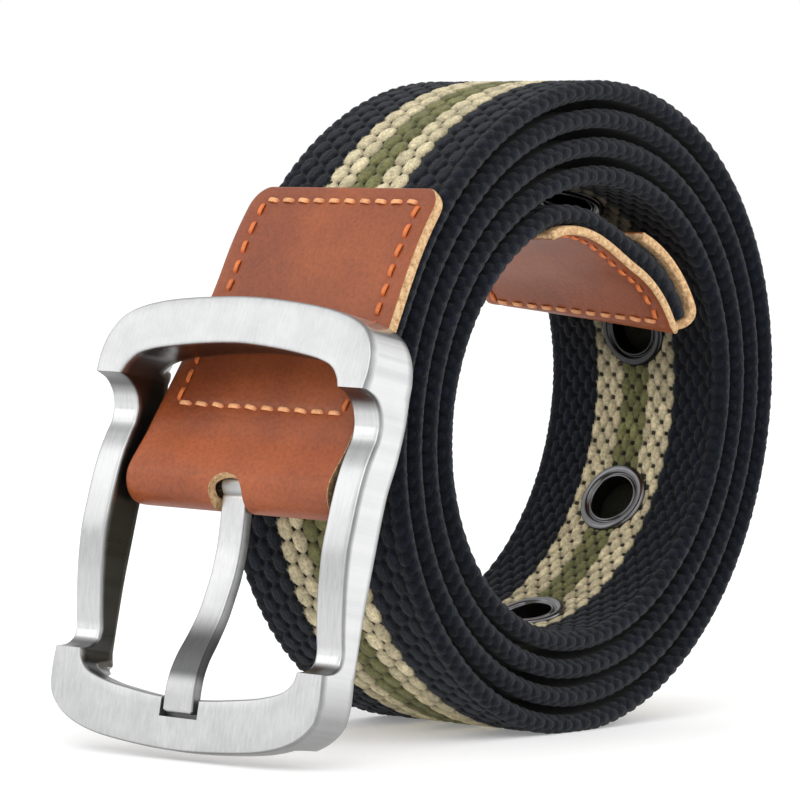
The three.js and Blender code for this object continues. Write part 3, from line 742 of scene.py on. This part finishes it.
def sheet(name, solid, stations, half, face, thickness, dent, tone, cross):
    """A leather sheet with a worn raw edge all round. At a station, half gives half its width, face a
    point at a share of its thickness, dent its relief, and tone its faces' tone and its raw edge's."""
    edge_d, edge_f = np.array(EDGE_STOPS).T
    across = np.linspace(-1, 1, cross)
    plain_f = np.concatenate([np.ones(cross), edge_f[1:], np.zeros(cross), edge_f[::-1][:-1]])
    rows = []
    for station in stations:
        wide = half(station)
        inner = across * (wide + edge_d[0])
        edge = wide + edge_d
        w_all = np.concatenate([inner, edge[1:], inner[::-1], -edge[::-1][:-1]])
        from_end = min(abs(station - stations[0]), abs(station - stations[-1]))
        squeeze = math.sqrt(1 - (1 - min(from_end / 0.5, 1)) ** 2) * 0.5 + 0.5
        f_all = 0.5 + (plain_f - 0.5) * squeeze
        f_all = f_all + np.where(f_all > 0.7, dent(station, w_all) / thickness, 0)
        low, high = face(station, w_all, 0.0), face(station, w_all, 1.0)
        rows.append(low + (high - low) * f_all[:, None])
    points = to_row(np.array(rows))
    count, around = points.shape[:2]
    points = points.reshape(-1, 3)
    is_raw = np.tile(np.arange(around) > cross, count - 1)
    rim = np.concatenate([np.zeros(cross), np.ones(len(edge) - 1)] * 2) > 0
    tones = np.array([tone(station) for station in stations], float)
    tint = np.where(rim[None, :], tones[:, 1:], tones[:, :1])
    return add_mesh(
        name, points, capped_faces(points, count, around), [LEATHER, RAW_EDGE], "strap",
        replaces=(solid,), kinds=np.append(is_raw, [True, True]), colour=tint.reshape(-1, 1),
    )


def sheet_stations(total, first, step):
    """Stations along a sheet, closer together at its two ends."""
    close = np.array([0, 0.06, 0.16, 0.3, 0.5])
    return np.concatenate([close, np.arange(first, total - 0.6, step), total - close[::-1]])


def tab_inner(from_hinge):
    return FOLD_INNER + (PANEL_INNER - FOLD_INNER) * smooth(from_hinge, 0, TAB_TAPER_LENGTH)


def around_hinge(w, radius, degrees):
    turn = np.radians(degrees)
    return in_frame(-np.asarray(w, float), -radius * np.cos(turn), radius * np.sin(turn))


# Stations along the tab: from the front panel's end, over the fold, to the back panel's end
FOLD_TILT = math.degrees(HINGE_LEAN - FRAME_LEAN)
FOLD_ARC = math.pi * FOLD_OUTER
TAB_TOTAL = TAB_FRONT_LENGTH + FOLD_ARC + TAB_BACK_LENGTH


def tab_face(station, w, radial):
    """A point of the tab at a share of its thickness: 0 on the side of the web, 1 outside."""
    w = np.asarray(w, float)
    if station <= TAB_FRONT_LENGTH:
        reach = TAB_FRONT_LENGTH - station
        return strap(STRAP_END - reach, w, tab_inner(reach) + radial * TAB_THICKNESS)
    if station <= TAB_FRONT_LENGTH + FOLD_ARC:
        turn = 90 + FOLD_TILT - 180 * (station - TAB_FRONT_LENGTH) / FOLD_ARC
        return around_hinge(w, FOLD_INNER + radial * TAB_THICKNESS, turn)
    reach = station - TAB_FRONT_LENGTH - FOLD_ARC
    return strap(STRAP_END - reach, w, -tab_inner(reach) - radial * TAB_THICKNESS)


def tab_half(station):
    into = max(0.0, TAB_CORNER - station) / TAB_CORNER
    return TAB_WIDTH / 2 - TAB_CORNER * (1 - math.sqrt(max(0.0, 1 - into * into)))


STITCH_INSET = 3.65
TAB_SIDE = TAB_WIDTH / 2 - STITCH_INSET
STITCH_TOP = 2.9
STITCH_BOTTOM = TAB_FRONT_LENGTH - 12
TAB_STITCH_LENGTH = 2.75
TAB_STITCH_PITCH = 3.4


def from_seam(station, w):
    """Distance from the tab's stitched outline."""
    dx = np.abs(w) - TAB_SIDE
    dy = max(STITCH_TOP - station, station - STITCH_BOTTOM)
    outside = np.hypot(np.maximum(dx, 0), max(dy, 0))
    inside = np.minimum(np.maximum(dx, dy), 0)
    return np.abs(outside + inside)


def tab_dent(station, w):
    groove = -0.16 * glow(from_seam(station, w), 0, 0.55)
    border = -0.18 * glow(np.abs(w), TAB_WIDTH / 2, 0.9)
    swell = 0.10 * glow(station, STITCH_BOTTOM + 3.2, 2.2)
    return groove + border + swell


def tab_painted_light(station):
    """Tones of the tab's face and raw edge: a painted highlight where the face bends before the fold, and
    painted shadow darkening the raw edge from before the fold on.
    """
    before_fold = TAB_FRONT_LENGTH - station
    face = 0.88 + 0.24 * glow(before_fold, 3.5, 4.5)
    edge = 1 - 0.75 * float(smooth(-before_fold, -19, -14))
    return face, edge


def slot_cutter():
    """The prong's slot round the fold, with a rounded end at the front."""
    half = SLOT_WIDTH / 2
    round_degrees = math.degrees(half / FOLD_OUTER)
    far = FOLD_OUTER + TAB_THICKNESS
    turns = np.linspace(SLOT_BACK_DEGREES, SLOT_FRONT_DEGREES, 60)
    rows = []
    for turn in turns:
        into = max(0.0, turn - (SLOT_FRONT_DEGREES - round_degrees)) / round_degrees
        wide = half * math.sqrt(max(0.0, 1 - into * into)) + 0.02
        corners = [(-wide, HINGE_BAR_RADIUS), (wide, HINGE_BAR_RADIUS), (wide, far), (-wide, far)]
        rows.append([around_hinge(w, radius, turn) for w, radius in corners])
    points = to_row(np.array(rows)).reshape(-1, 3)
    return closed_form("slot", points, capped_faces(points, len(turns), len(corners)), RAW_EDGE)


tab = sheet(
    "tab_leather", "leather_tab", sheet_stations(TAB_TOTAL, 0.8, 0.5), tab_half, tab_face,
    TAB_THICKNESS, tab_dent, tab_painted_light, cross=96,
)
cut(tab, slot_cutter())


# Leather tip: from the inner layer's end, round the web's end, to the outer layer's end
TIP_BEND = 3.2
TIP_TURN_AT = TIP_END + TIP_BEND
TIP_ARC = math.pi * TIP_BEND
TIP_INNER_RUN = TIP_INNER_END - TIP_TURN_AT
TIP_OUTER_RUN = TIP_OUTER_END - TIP_TURN_AT
TIP_TOTAL = TIP_INNER_RUN + TIP_ARC + TIP_OUTER_RUN


def tip_place(station, radial):
    """Length along the strap and height out of it, in the tip's leather."""
    if station <= TIP_INNER_RUN:
        s, side = TIP_TURN_AT + TIP_INNER_RUN - station, -1.0
    elif station <= TIP_INNER_RUN + TIP_ARC:
        turn = math.pi * (station - TIP_INNER_RUN) / TIP_ARC
        s = TIP_TURN_AT - math.sin(turn) * (TIP_BEND - (1 - radial) * TIP_THICKNESS)
        side = -math.cos(turn)
    else:
        s, side = TIP_TURN_AT + station - TIP_INNER_RUN - TIP_ARC, 1.0
    return s, side * (float(web_half(s)) + REST_GAP + radial * TIP_THICKNESS)


def tip_face(station, w, radial):
    w = np.asarray(w, float)
    s, t = tip_place(station, radial)
    return strap(slanted(s, w), w, t)


def tip_half(station):
    into = max(0.0, TIP_END + TIP_CORNER - tip_place(station, 1.0)[0])
    return TIP_WIDTH / 2 - TIP_CORNER + math.sqrt(max(0.0, TIP_CORNER ** 2 - into ** 2))


TIP_STITCH_INSET = 2.6
TIP_SIDE = TIP_WIDTH / 2 - TIP_STITCH_INSET
TIP_STITCH_LENGTH = 2.45
TIP_STITCH_PITCH = 3.0
TIP_ROW = TIP_INNER_RUN - 0.4
TIP_STITCH_START = 3.0


def tip_dent(station, w):
    line = np.minimum(np.abs(np.abs(w) - TIP_SIDE), abs(station - TIP_ROW))
    return -0.12 * glow(line, 0, 0.5) - 0.12 * glow(np.abs(w), TIP_WIDTH / 2, 0.7)


def tip_tone(station):
    return 0.82, 1


sheet(
    "tip_leather", "leather_tip", sheet_stations(TIP_TOTAL, 0.9, 0.55), tip_half, tip_face,
    TIP_THICKNESS, tip_dent, tip_tone, cross=72,
)


# Stitches

PEACH = linear(236, 170, 118)
THREAD_END_SHADE = linear(176, 66, 22)
ORANGE = linear(222, 122, 62)
STITCH_WIDTH = 0.86
STITCH_HEIGHT = 0.46


def run_of_stitches(start, end, pitch):
    """Middles of stitches on a straight run between two (station, w) places, and their heading."""
    a, b = np.array(start, float), np.array(end, float)
    length = np.linalg.norm(b - a)
    count = max(1, int(round(length / pitch)))
    return [(a + (b - a) * (k + 0.5) / count, (b - a) / length) for k in range(count)]


def stitches(name, corners, face, length, pitch):
    """Short fat threads along the corners' outline on a leather face, their ends sinking into it."""
    rings, sides = 9, 8
    along = np.linspace(-1, 1, rings)
    turn = np.arange(sides) * 2 * np.pi / sides
    fat = (np.sqrt(1 - along ** 6) * 0.92 + 0.08)[:, None, None]
    lift = (0.16 - 0.50 * np.abs(along) ** 4)[:, None, None]
    round_side = np.cos(turn)[None, :, None] * (STITCH_WIDTH / 2) * fat
    round_out = np.sin(turn)[None, :, None] * (STITCH_HEIGHT / 2) * fat + lift
    # Painted shade: each thread darkens towards its ends, where they sink into the leather.
    end_shade_mix = np.broadcast_to((np.abs(along) ** 3)[:, None, None], (rings, sides, 1))
    look_ahead = 0.05
    points, faces, tints = [], [], []
    for start, end in zip(corners, corners[1:]):
        for middle, heading in run_of_stitches(start, end, pitch):
            slant = chance.normal(math.radians(5), math.radians(3))
            cos, sin = math.cos(slant), math.sin(slant)
            way = np.array([heading[0] * cos - heading[1] * sin, heading[0] * sin + heading[1] * cos])
            centre = face(*middle, 1.0)
            ahead = unit(face(*(middle + way * look_ahead), 1.0) - centre)
            out = centre - face(*middle, 0.0)
            out = unit(out - ahead * np.dot(out, ahead))
            own = length * chance.uniform(0.93, 1.07)
            points.append((
                centre + ahead * (along * own / 2)[:, None, None]
                + np.cross(out, ahead) * round_side + out * round_out
            ).reshape(-1, 3))
            faces.append(grid_faces(rings, sides, close_columns=True) + len(faces) * rings * sides)
            tone = chance.uniform(0.88, 1.08)
            body = PEACH if abs(heading[1]) > abs(heading[0]) else ORANGE
            tints.append((body * (1 - end_shade_mix) + THREAD_END_SHADE * end_shade_mix).reshape(-1, 3) * tone)
    add_mesh(
        name, to_row(np.concatenate(points)), np.concatenate(faces), [THREAD], "strap",
        colour=np.concatenate(tints),
    )


stitches("tab_stitches", [
    (STITCH_TOP, -TAB_SIDE), (STITCH_TOP, TAB_SIDE), (STITCH_BOTTOM, TAB_SIDE),
    (STITCH_BOTTOM, -TAB_SIDE), (STITCH_TOP, -TAB_SIDE),
], tab_face, TAB_STITCH_LENGTH, TAB_STITCH_PITCH)
stitches("tip_stitches", [
    (TIP_STITCH_START, -TIP_SIDE), (TIP_ROW, -TIP_SIDE), (TIP_ROW, TIP_SIDE), (TIP_STITCH_START, TIP_SIDE),
], tip_face, TIP_STITCH_LENGTH, TIP_STITCH_PITCH)


# Eyelets

EYELET_SIDES = 72
EYELET_ROUND_POINTS = 9
# Painted shade: eyelets where the next turn of the web lies over them are darkened.
HIDDEN_EYELET_SHADE = 0.25


def ring_section(inner, outer, base, height):
    """Half an ellipse standing on base, from its outer foot to its inner one."""
    turn = np.linspace(0, math.pi, EYELET_ROUND_POINTS)
    middle, reach = (inner + outer) / 2, (outer - inner) / 2
    return [(middle + reach * math.cos(a), base + height * math.sin(a)) for a in turn]


def eyelet_profile():
    """Section of an eyelet as (radius, t) once round: a broad rolled flange and a thin inner lip."""
    base = HALF_WEB - 0.15
    flange = ring_section(EYELET_HOLE_RADIUS + 0.75, EYELET_FLANGE_RADIUS, base, EYELET_RISE + 0.15)
    lip = ring_section(EYELET_HOLE_RADIUS, EYELET_HOLE_RADIUS + 0.5, base, EYELET_RISE)
    half = flange + lip + [(EYELET_HOLE_RADIUS, 0.6)]
    return half + [(r, -t) for r, t in half[::-1]]


def revolved(place, profile, sides):
    """Points and faces of a profile of (radius, height) turned about its axis. place gives a point from
    its height and its two places across the axis."""
    turn = np.arange(sides)[:, None] * 2 * np.pi / sides
    radius, height = np.array(profile).T
    points = to_row(place(height, radius * np.cos(turn), radius * np.sin(turn))).reshape(-1, 3)
    return points, faces_out(points, grid_faces(sides, len(profile), close_rows=True, close_columns=True))


def eyelet(index):
    middle = eyelet_at(index)
    points, faces = revolved(lambda t, s, w: strap(middle + s, w, t), eyelet_profile(), EYELET_SIDES)
    name = f"eyelet_{index + 1}"
    add_mesh(
        f"{name}_metal", points, faces, [GUNMETAL], "strap", replaces=(name,),
        colour=HIDDEN_EYELET_SHADE if middle > HIDDEN_FROM else 1.0,
    )


for eyelet_index in range(EYELET_COUNT):
    eyelet(eyelet_index)


# Buckle frame
FRAME_WIDTH = 52.6
BAR_WIDTH = 5.1
BARS_LENGTH = 43.9
BARS_TOP = 15.6
FRONT_PLANE = 7.7
TOP_ARCH_HEIGHT = 13.6
TOP_ARCH_BAND = 7.7
TOP_ARCH_LEAN_BACK = 2.9
BOTTOM_ARCH_HEIGHT = 14.1
BOTTOM_ARCH_BAND = 8.1
FRAME_DEPTH_TOP = 12.8
FRAME_DEPTH_BOTTOM = 8.6
TOP_COVE_DEPTH = 5.7
BOTTOM_COVE_DEPTH = 4.3
BAR_CREST_DEPTH = 1.9
NOTCH_WIDTH = 7.4
NOTCH_DEPTH = 1.9
NOTCH_REACH = 3.0
FRAME_EDGE = 0.5
FRAME_LEAST_DEPTH = 0.4
TUBE_SIDES = 40
TUBE_TONE = 0.8
BARS_BOTTOM = BARS_TOP - BARS_LENGTH
FRAME_BOTTOM = BARS_BOTTOM - BOTTOM_ARCH_HEIGHT
FRAME_HALF = FRAME_WIDTH / 2
WINDOW_HALF = FRAME_HALF - BAR_WIDTH
NOTCH_WALL = FRAME_BOTTOM + BOTTOM_ARCH_BAND - NOTCH_REACH

TOP_OUTER = [(-0.006, 0.22), (0.015, 0.45), (0.07, 0.64), (0.13, 0.74), (0.22, 0.82), (0.38, 0.90),
             (0.62, 0.96), (1, 1)]
TOP_INNER = [(0, 0), (0.03, 0.24), (0.10, 0.52), (0.22, 0.69), (0.42, 0.82), (0.70, 0.94), (1, 1)]
BOTTOM_OUTER = [(-0.006, 0.30), (0.015, 0.52), (0.08, 0.67), (0.18, 0.79), (0.34, 0.89), (0.60, 0.96),
                (1, 1)]
BOTTOM_INNER = [(0, 0), (0.02, 0.27), (0.09, 0.52), (0.28, 0.74), (0.52, 0.87), (0.76, 0.96), (1, 1)]


def scaled(depth, *rows):
    return [(at, share * depth) for at, share in rows]


# Front recess and back depth of the bars: share of their length from the lower end, depth
BAR_FRONT = [(0, 0)] + scaled(
    BOTTOM_COVE_DEPTH, (0.008, 0.45), (0.025, 0.78), (0.047, 0.96), (0.075, 1), (0.13, 0.87), (0.22, 0.68)
) + scaled(BAR_CREST_DEPTH, (0.32, 1.18), (0.43, 1), (0.54, 1.2)) + scaled(
    TOP_COVE_DEPTH, (0.64, 0.5), (0.72, 0.63), (0.79, 0.82), (0.845, 0.98), (0.88, 1), (0.925, 0.9),
    (0.96, 0.7), (0.985, 0.42), (1, 0),
)
FRAME_BACK = scaled(FRAME_DEPTH_BOTTOM, (-0.35, 0.98), (0.2, 1.02), (0.43, 1.1)) + scaled(
    FRAME_DEPTH_TOP, (0.64, 0.81), (0.8, 0.945), (0.94, 1), (1.35, 0.95)
)

# Points of a rounded face: along each rounded rim, over its flat, in all, and down each wall
RIM_POINTS = 4
FLAT_POINTS = 7
FACE_POINTS = 2 * RIM_POINTS + FLAT_POINTS
WALL_POINTS = 7


def gentle(rows, x):
    """A curve through the rows that never overshoots them."""
    xs, ys = np.array(rows, float).T
    h = np.diff(xs)
    slope = np.diff(ys) / h
    same = slope[:-1] * slope[1:] > 0
    before, after = np.where(same, slope[:-1], 1), np.where(same, slope[1:], 1)
    wa, wb = 2 * h[1:] + h[:-1], h[1:] + 2 * h[:-1]
    inner = np.where(same, (wa + wb) / (wa / before + wb / after), 0)
    m = np.concatenate([slope[:1], inner, slope[-1:]])
    x = np.clip(np.asarray(x, float), xs[0], xs[-1])
    i = np.clip(np.searchsorted(xs, x, side="right") - 1, 0, len(xs) - 2)
    return hermite((x - xs[i]) / h[i], ys[i], ys[i + 1], h[i] * m[i], h[i] * m[i + 1])


def rounded_path(points, count):
    """A smooth path of count points, evenly spaced, through the given points."""
    p = np.array(points, float)
    steps = np.linalg.norm(np.diff(p, axis=0), axis=1) ** 0.5
    knots = np.concatenate([[0], np.cumsum(steps)])
    slope = np.gradient(p, knots, axis=0)
    fine = np.linspace(0, knots[-1], 1200)
    i = np.clip(np.searchsorted(knots, fine, side="right") - 1, 0, len(p) - 2)
    h = (knots[i + 1] - knots[i])[:, None]
    u = (fine - knots[i])[:, None] / h
    curve = hermite(u, p[i], p[i + 1], h * slope[i], h * slope[i + 1])
    run = lengths_along(curve)
    at = np.linspace(0, run[-1], count)
    return np.stack([np.interp(at, run, curve[:, 0]), np.interp(at, run, curve[:, 1])], 1)


def arch(rows, half, start, height, bar_end):
    """An arch's edge from its left end to its right one, through the table's rows."""
    left = [(-half * (1 - share), start + height * up) for share, up in rows]
    if bar_end:
        left = [(-half, start)] + left
    right = [(-x, y) for x, y in left[:-1]][::-1]
    return left + right


def frame_loops():
    """Matching points of the frame's outer and inner outlines, once round from the left bar's foot."""
    arch_count = 130
    top_window = TOP_ARCH_HEIGHT - TOP_ARCH_BAND
    low_window = BOTTOM_ARCH_BAND - BOTTOM_ARCH_HEIGHT
    top_out, top_in, low_out, low_in = [rounded_path(arch(*edge), arch_count) for edge in (
        (TOP_OUTER, FRAME_HALF, BARS_TOP, TOP_ARCH_HEIGHT, True),
        (TOP_INNER, WINDOW_HALF, BARS_TOP, top_window, False),
        (BOTTOM_OUTER, FRAME_HALF, BARS_BOTTOM, -BOTTOM_ARCH_HEIGHT, True),
        (BOTTOM_INNER, WINDOW_HALF, BARS_BOTTOM, low_window, False),
    )]
    share = np.concatenate([
        [0.0002, 0.002, 0.005], np.linspace(0.009, 0.08, 18), np.linspace(0.09, 0.82, 84),
        np.linspace(0.83, 0.985, 40), [0.989, 0.993, 0.997, 0.9998],
    ])
    bar_y = BARS_BOTTOM + share * BARS_LENGTH
    left_out = np.stack([np.full_like(bar_y, -FRAME_HALF), bar_y], 1)
    left_in = np.stack([np.full_like(bar_y, -WINDOW_HALF), bar_y], 1)
    outer = np.concatenate([left_out, top_out, left_out[::-1] * [-1, 1], low_out[::-1]])
    inner = np.concatenate([left_in, top_in, left_in[::-1] * [-1, 1], low_in[::-1]])
    on_bar = np.repeat([True, False] * 2, [len(share), arch_count] * 2)
    return outer, inner, on_bar


def front_height(y, bar):
    share = (y - BARS_BOTTOM) / BARS_LENGTH
    recess = np.where(bar, gentle(BAR_FRONT, share), 0)
    lean = np.maximum(0, y - BARS_TOP) * TOP_ARCH_LEAN_BACK / TOP_ARCH_HEIGHT
    return FRONT_PLANE - recess - np.where(bar, 0, lean)


def tab_front_room():
    """Where the tab's front face lies behind the top arch, as the frame's own height and depth."""
    reach = np.linspace(2, TAB_FRONT_LENGTH, 80)
    points = strap(STRAP_END - reach, 0, tab_inner(reach) + TAB_THICKNESS + REST_GAP) - HINGE
    return points @ FRAME_UP, points @ FRAME_FRONT


ROOM_UP, ROOM_FRONT = tab_front_room()


def back_height(x, y):
    share = (y - BARS_BOTTOM) / BARS_LENGTH
    plain = FRONT_PLANE - gentle(FRAME_BACK, share)
    room = np.interp(y, ROOM_UP, ROOM_FRONT)
    beside = smooth(np.abs(x), TAB_WIDTH / 2 + 0.4, TAB_WIDTH / 2 + 0.9)
    room = room * (1 - beside) + plain * beside
    return np.maximum(plain, room)


def rounded_face(low, high, edge):
    """Places across a face with rounded rims, and how far each lies below the face's flat."""
    arc = np.radians(np.linspace(0, 90, RIM_POINTS + 1))
    rise, run = edge * np.sin(arc), edge * np.cos(arc)
    flat = np.linspace(low + edge, high - edge, FLAT_POINTS)
    place = np.concatenate([low + edge - run[:-1], flat, high - edge + rise[1:]])
    return place, np.concatenate([edge - rise[:-1], np.zeros(FLAT_POINTS), edge - run[1:]])


def wall(at, start, end):
    return [(*at, start + (end - start) * k) for k in np.linspace(0, 1, WALL_POINTS + 2)[1:-1]]


def frame_points(outer, inner, on_bar):
    rows = []
    for o, i, bar in zip(outer, inner, on_bar):
        long = np.linalg.norm(i - o)
        across, fall = rounded_face(0, long, FRAME_EDGE)
        place = o + (i - o) / long * across[:, None]
        front = front_height(place[:, 1], bar) - fall
        back = np.minimum(back_height(place[:, 0], place[:, 1]) + fall, front - FRAME_LEAST_DEPTH)
        rows.append(np.concatenate([
            np.column_stack([place, front]), wall(place[-1], front[-1], back[-1]),
            np.column_stack([place, back])[::-1], wall(place[0], back[0], front[0]),
        ]))
    return np.array(rows)


def block(low, high):
    x, y, z = zip(low, high)
    corners = np.array([[a, b, c] for a in x for b in y for c in z], float)
    faces = [[0, 1, 3, 2], [4, 6, 7, 5], [0, 4, 5, 1], [2, 3, 7, 6], [0, 2, 6, 4], [1, 5, 7, 3]]
    return closed_form("block", to_row(in_frame(*corners.T)), faces, SATIN)


def frame_painted_light(local, on_bar):
    """Tone of the frame's metal, all painted light: painted shade in its coves, painted bright and dark
    reflection bands along the bars, darkened rims, a darker back, near-black inner walls as painted
    reflection of the dark belt, and a bright outer wall darker towards the bottom.
    """
    y = local[:, :, 1]
    share = (y - BARS_BOTTOM) / BARS_LENGTH
    bar = np.broadcast_to(on_bar[:, None], y.shape)
    # Painted shade darkens the steep coves at the bars' ends.
    reach = 0.3
    slope = (front_height(y + reach, bar) - front_height(y - reach, bar)) / (2 * reach)
    steep = np.where(bar, smooth(np.abs(slope), 0.3, 1.3), 0)
    # Painted reflection: bright and dark bands along the bars beside the coves.
    painted_reflection_bands = 0.30 * glow(share, 0.875, 0.02) - 0.30 * glow(share, 0.79, 0.045)
    painted_reflection_bands = painted_reflection_bands + 0.32 * glow(share, 0.075, 0.018) - 0.12 * glow(share, 0.4, 0.2)
    tone = 1.0 - 0.74 * steep + np.where(bar, painted_reflection_bands, 0)
    back = FACE_POINTS + WALL_POINTS
    outer_wall = back + FACE_POINTS
    # Painted shade on the rounded rims, painted reflection on the walls: the inner walls near black, the
    # back darker, the outer wall bright.
    tone[:, :3] *= 0.5
    tone[:, FACE_POINTS - 3:FACE_POINTS] *= 0.62
    tone[:, FACE_POINTS:back] = 0.2
    tone[:, back:outer_wall] = 0.6
    tone[:, outer_wall:] = 1.2 - 0.6 * smooth(BARS_BOTTOM - y, -2, 9)[:, outer_wall:]
    return tone.reshape(-1, 1)


def buckle_frame():
    outer, inner, on_bar = frame_loops()
    local = frame_points(outer, inner, on_bar)
    count, around = local.shape[:2]
    flat = local.reshape(-1, 3)
    points = to_row(in_frame(*flat.T))
    faces = faces_out(points, grid_faces(count, around, close_rows=True, close_columns=True))
    row, column = np.divmod(faces.min(1), around)
    is_front = (column < FACE_POINTS - 1) & ~on_bar[row]
    obj = add_mesh(
        "frame_metal", points, faces, [SATIN, POLISHED], "frame",
        replaces=("buckle_frame",), kinds=~is_front, colour=frame_painted_light(local, on_bar), uv=flat[:, :2] * MM,
    )
    half = NOTCH_WIDTH / 2
    cut(obj, block((-half, NOTCH_WALL, FRONT_PLANE - NOTCH_DEPTH), (half, BARS_BOTTOM, FRONT_PLANE + 2)))


buckle_frame()


def tube(name, material, body, outer_radius, inner_radius, half_length):
    """A round bar or ring on the hinge bar's line."""
    soft = min(0.2, (outer_radius - inner_radius) / 3) if inner_radius else 0.05
    bore = inner_radius or 0.01
    points, faces = revolved(in_frame, [
        (outer_radius - soft, -half_length), (outer_radius, soft - half_length),
        (outer_radius, half_length - soft), (outer_radius - soft, half_length),
        (bore, half_length), (bore, -half_length),
    ], TUBE_SIDES)
    obj = add_mesh(
        name, points, faces, [material], body, colour=TUBE_TONE, uv=points[:, [0, 2]]
    )
    obj.data.set_sharp_from_angle(angle=math.radians(40))


tube("hinge_bar", POLISHED, "frame", HINGE_BAR_RADIUS, 0, WINDOW_HALF + 0.6)


# Prong
PRONG_WIDTH = 4.8
PRONG_TIP_WIDTH = 5.8
PRONG_THICKNESS = 2.2
PRONG_PROUD = 0.6
PRONG_END_GAP = 0.7
PRONG_ROOT = 1.6
PRONG_EDGE = 0.42
PRONG_LENGTH = -NOTCH_WALL - PRONG_END_GAP
PRONG_FRONT = [
    (0.04, 0), (0.15, -0.04), (0.27, -0.06), (0.38, 0), (0.47, 0.12), (0.56, 0.27), (0.66, 0.53),
    (0.75, 0.8), (0.83, 0.95), (0.91, 1), (1, 0.98),
]


def prong_painted_light(front, around):
    """Tone of the prong's metal, painted light: a painted dark reflection in its bend, painted shade on its
    rounded rims and down its sides, and a little brighter towards its root.
    """
    down = -front[:, 0] / PRONG_LENGTH
    bend = smooth(down, 0.56, 0.68) * (1 - smooth(down, 0.82, 0.88))
    tone = 1.15 - 0.15 * smooth(down, 0.3, 0.6) - 0.78 * bend
    tone = np.repeat(tone[:, None], around, 1)
    tone[:, :3] *= 0.55
    tone[:, FACE_POINTS - 3:FACE_POINTS] *= 0.55
    tone[:, FACE_POINTS:] *= 0.45
    return tone.reshape(-1, 1)


def prong():
    count = 90
    reach = FRONT_PLANE + PRONG_PROUD - PRONG_ROOT
    knots = [(-down * PRONG_LENGTH, PRONG_ROOT + out * reach) for down, out in PRONG_FRONT]
    front = rounded_path(knots, count)
    way = unit(np.gradient(front, axis=0))
    back_way = np.stack([-way[:, 1], way[:, 0]], 1)
    step = np.linalg.norm(front[1] - front[0])
    rows = []
    for k, (p, b) in enumerate(zip(front, back_way)):
        grow = float(smooth(-p[0], PRONG_LENGTH / 2, PRONG_LENGTH))
        from_end = min(k, count - 1 - k) * step
        squeeze = PRONG_EDGE * (1 - math.sqrt(1 - (1 - min(from_end / PRONG_EDGE, 1)) ** 2))
        half = (PRONG_WIDTH + (PRONG_TIP_WIDTH - PRONG_WIDTH) * grow) / 2 - squeeze * 0.8
        x, depth = rounded_face(-half, half, PRONG_EDGE)
        depth = depth + squeeze
        all_x = np.concatenate([x, x[::-1]])
        all_depth = np.concatenate([depth, PRONG_THICKNESS - depth[::-1]])
        rows.append(np.column_stack([all_x, p + b * all_depth[:, None]]))
    local = np.array(rows)
    around = local.shape[1]
    flat = local.reshape(-1, 3)
    points = to_row(in_frame(*flat.T))
    obj = add_mesh(
        "prong_metal", points, capped_faces(points, count, around), [SATIN], "prong",
        replaces=("buckle_prong",), colour=prong_painted_light(front, around), uv=flat[:, :2] * MM,
    )
    obj.data.set_sharp_from_angle(angle=math.radians(50))


prong()
tube("prong_eye", SATIN, "prong", EYE_OUTER, EYE_INNER, PRONG_WIDTH / 2)


# Floor, light and camera

BELT_MIDDLE = Vector((0, 0, 0.05))


def soft_light(name, place, size, power):
    """A square soft light aimed at the belt."""
    data = bpy.data.lights.new(name, "AREA")
    data.shape = "RECTANGLE"
    data.size = size
    data.size_y = size
    data.energy = power
    obj = linked(name, data)
    obj.location = place
    obj.rotation_euler = (BELT_MIDDLE - Vector(place)).to_track_quat("-Z", "Y").to_euler()


pale = Surface("floor", Base_Color=(0.9, 0.9, 0.9, 1), Roughness=0.9, Emission_Strength=0.2)
pale.shader.inputs["Emission Color"].default_value = (1, 1, 1, 1)
bpy.ops.mesh.primitive_plane_add(size=12.0, location=(0, 0, 0))
floor = bpy.context.object
floor.name = "floor"
floor.data.materials.append(pale.material)

soft_light("key", (-0.75, -0.35, 0.75), 0.7, 2.2)
soft_light("side", (0.55, -0.75, 0.45), 0.6, 2.0)
soft_light("back", (-0.7, 0.6, 0.5), 0.5, 0.8)

world = bpy.data.worlds.new("studio")
world.use_nodes = True
sky = world.node_tree.nodes["Background"].inputs
sky["Color"].default_value = (1, 1, 1, 1)
sky["Strength"].default_value = 1.0
bpy.context.scene.world = world
bpy.context.scene.view_settings.view_transform = "Standard"


CAMERA_PLACE = np.array([-560.7, -470.5, 77.4])
CAMERA_AHEAD = np.array([0.7466, 0.6573, -0.1031])
CAMERA_ROLL = math.radians(-2.15)
CAMERA_LENS = 198.5
ahead = unit(CAMERA_AHEAD)
level = unit(np.cross(ahead, [0, 0, 1]))
above = np.cross(level, ahead)
right = level * math.cos(CAMERA_ROLL) + above * math.sin(CAMERA_ROLL)
upward = above * math.cos(CAMERA_ROLL) - level * math.sin(CAMERA_ROLL)
camera_data = bpy.data.cameras.new("camera")
camera_data.sensor_width = 36
camera_data.lens = CAMERA_LENS
camera_data.clip_start = 0.05
camera = linked("camera", camera_data)
axes = Matrix([belt_turned(*right), belt_turned(*upward), belt_turned(*-ahead)]).transposed()
camera.matrix_world = Matrix.Translation(Vector(to_row(CAMERA_PLACE))) @ axes.to_4x4()
bpy.context.scene.camera = camera
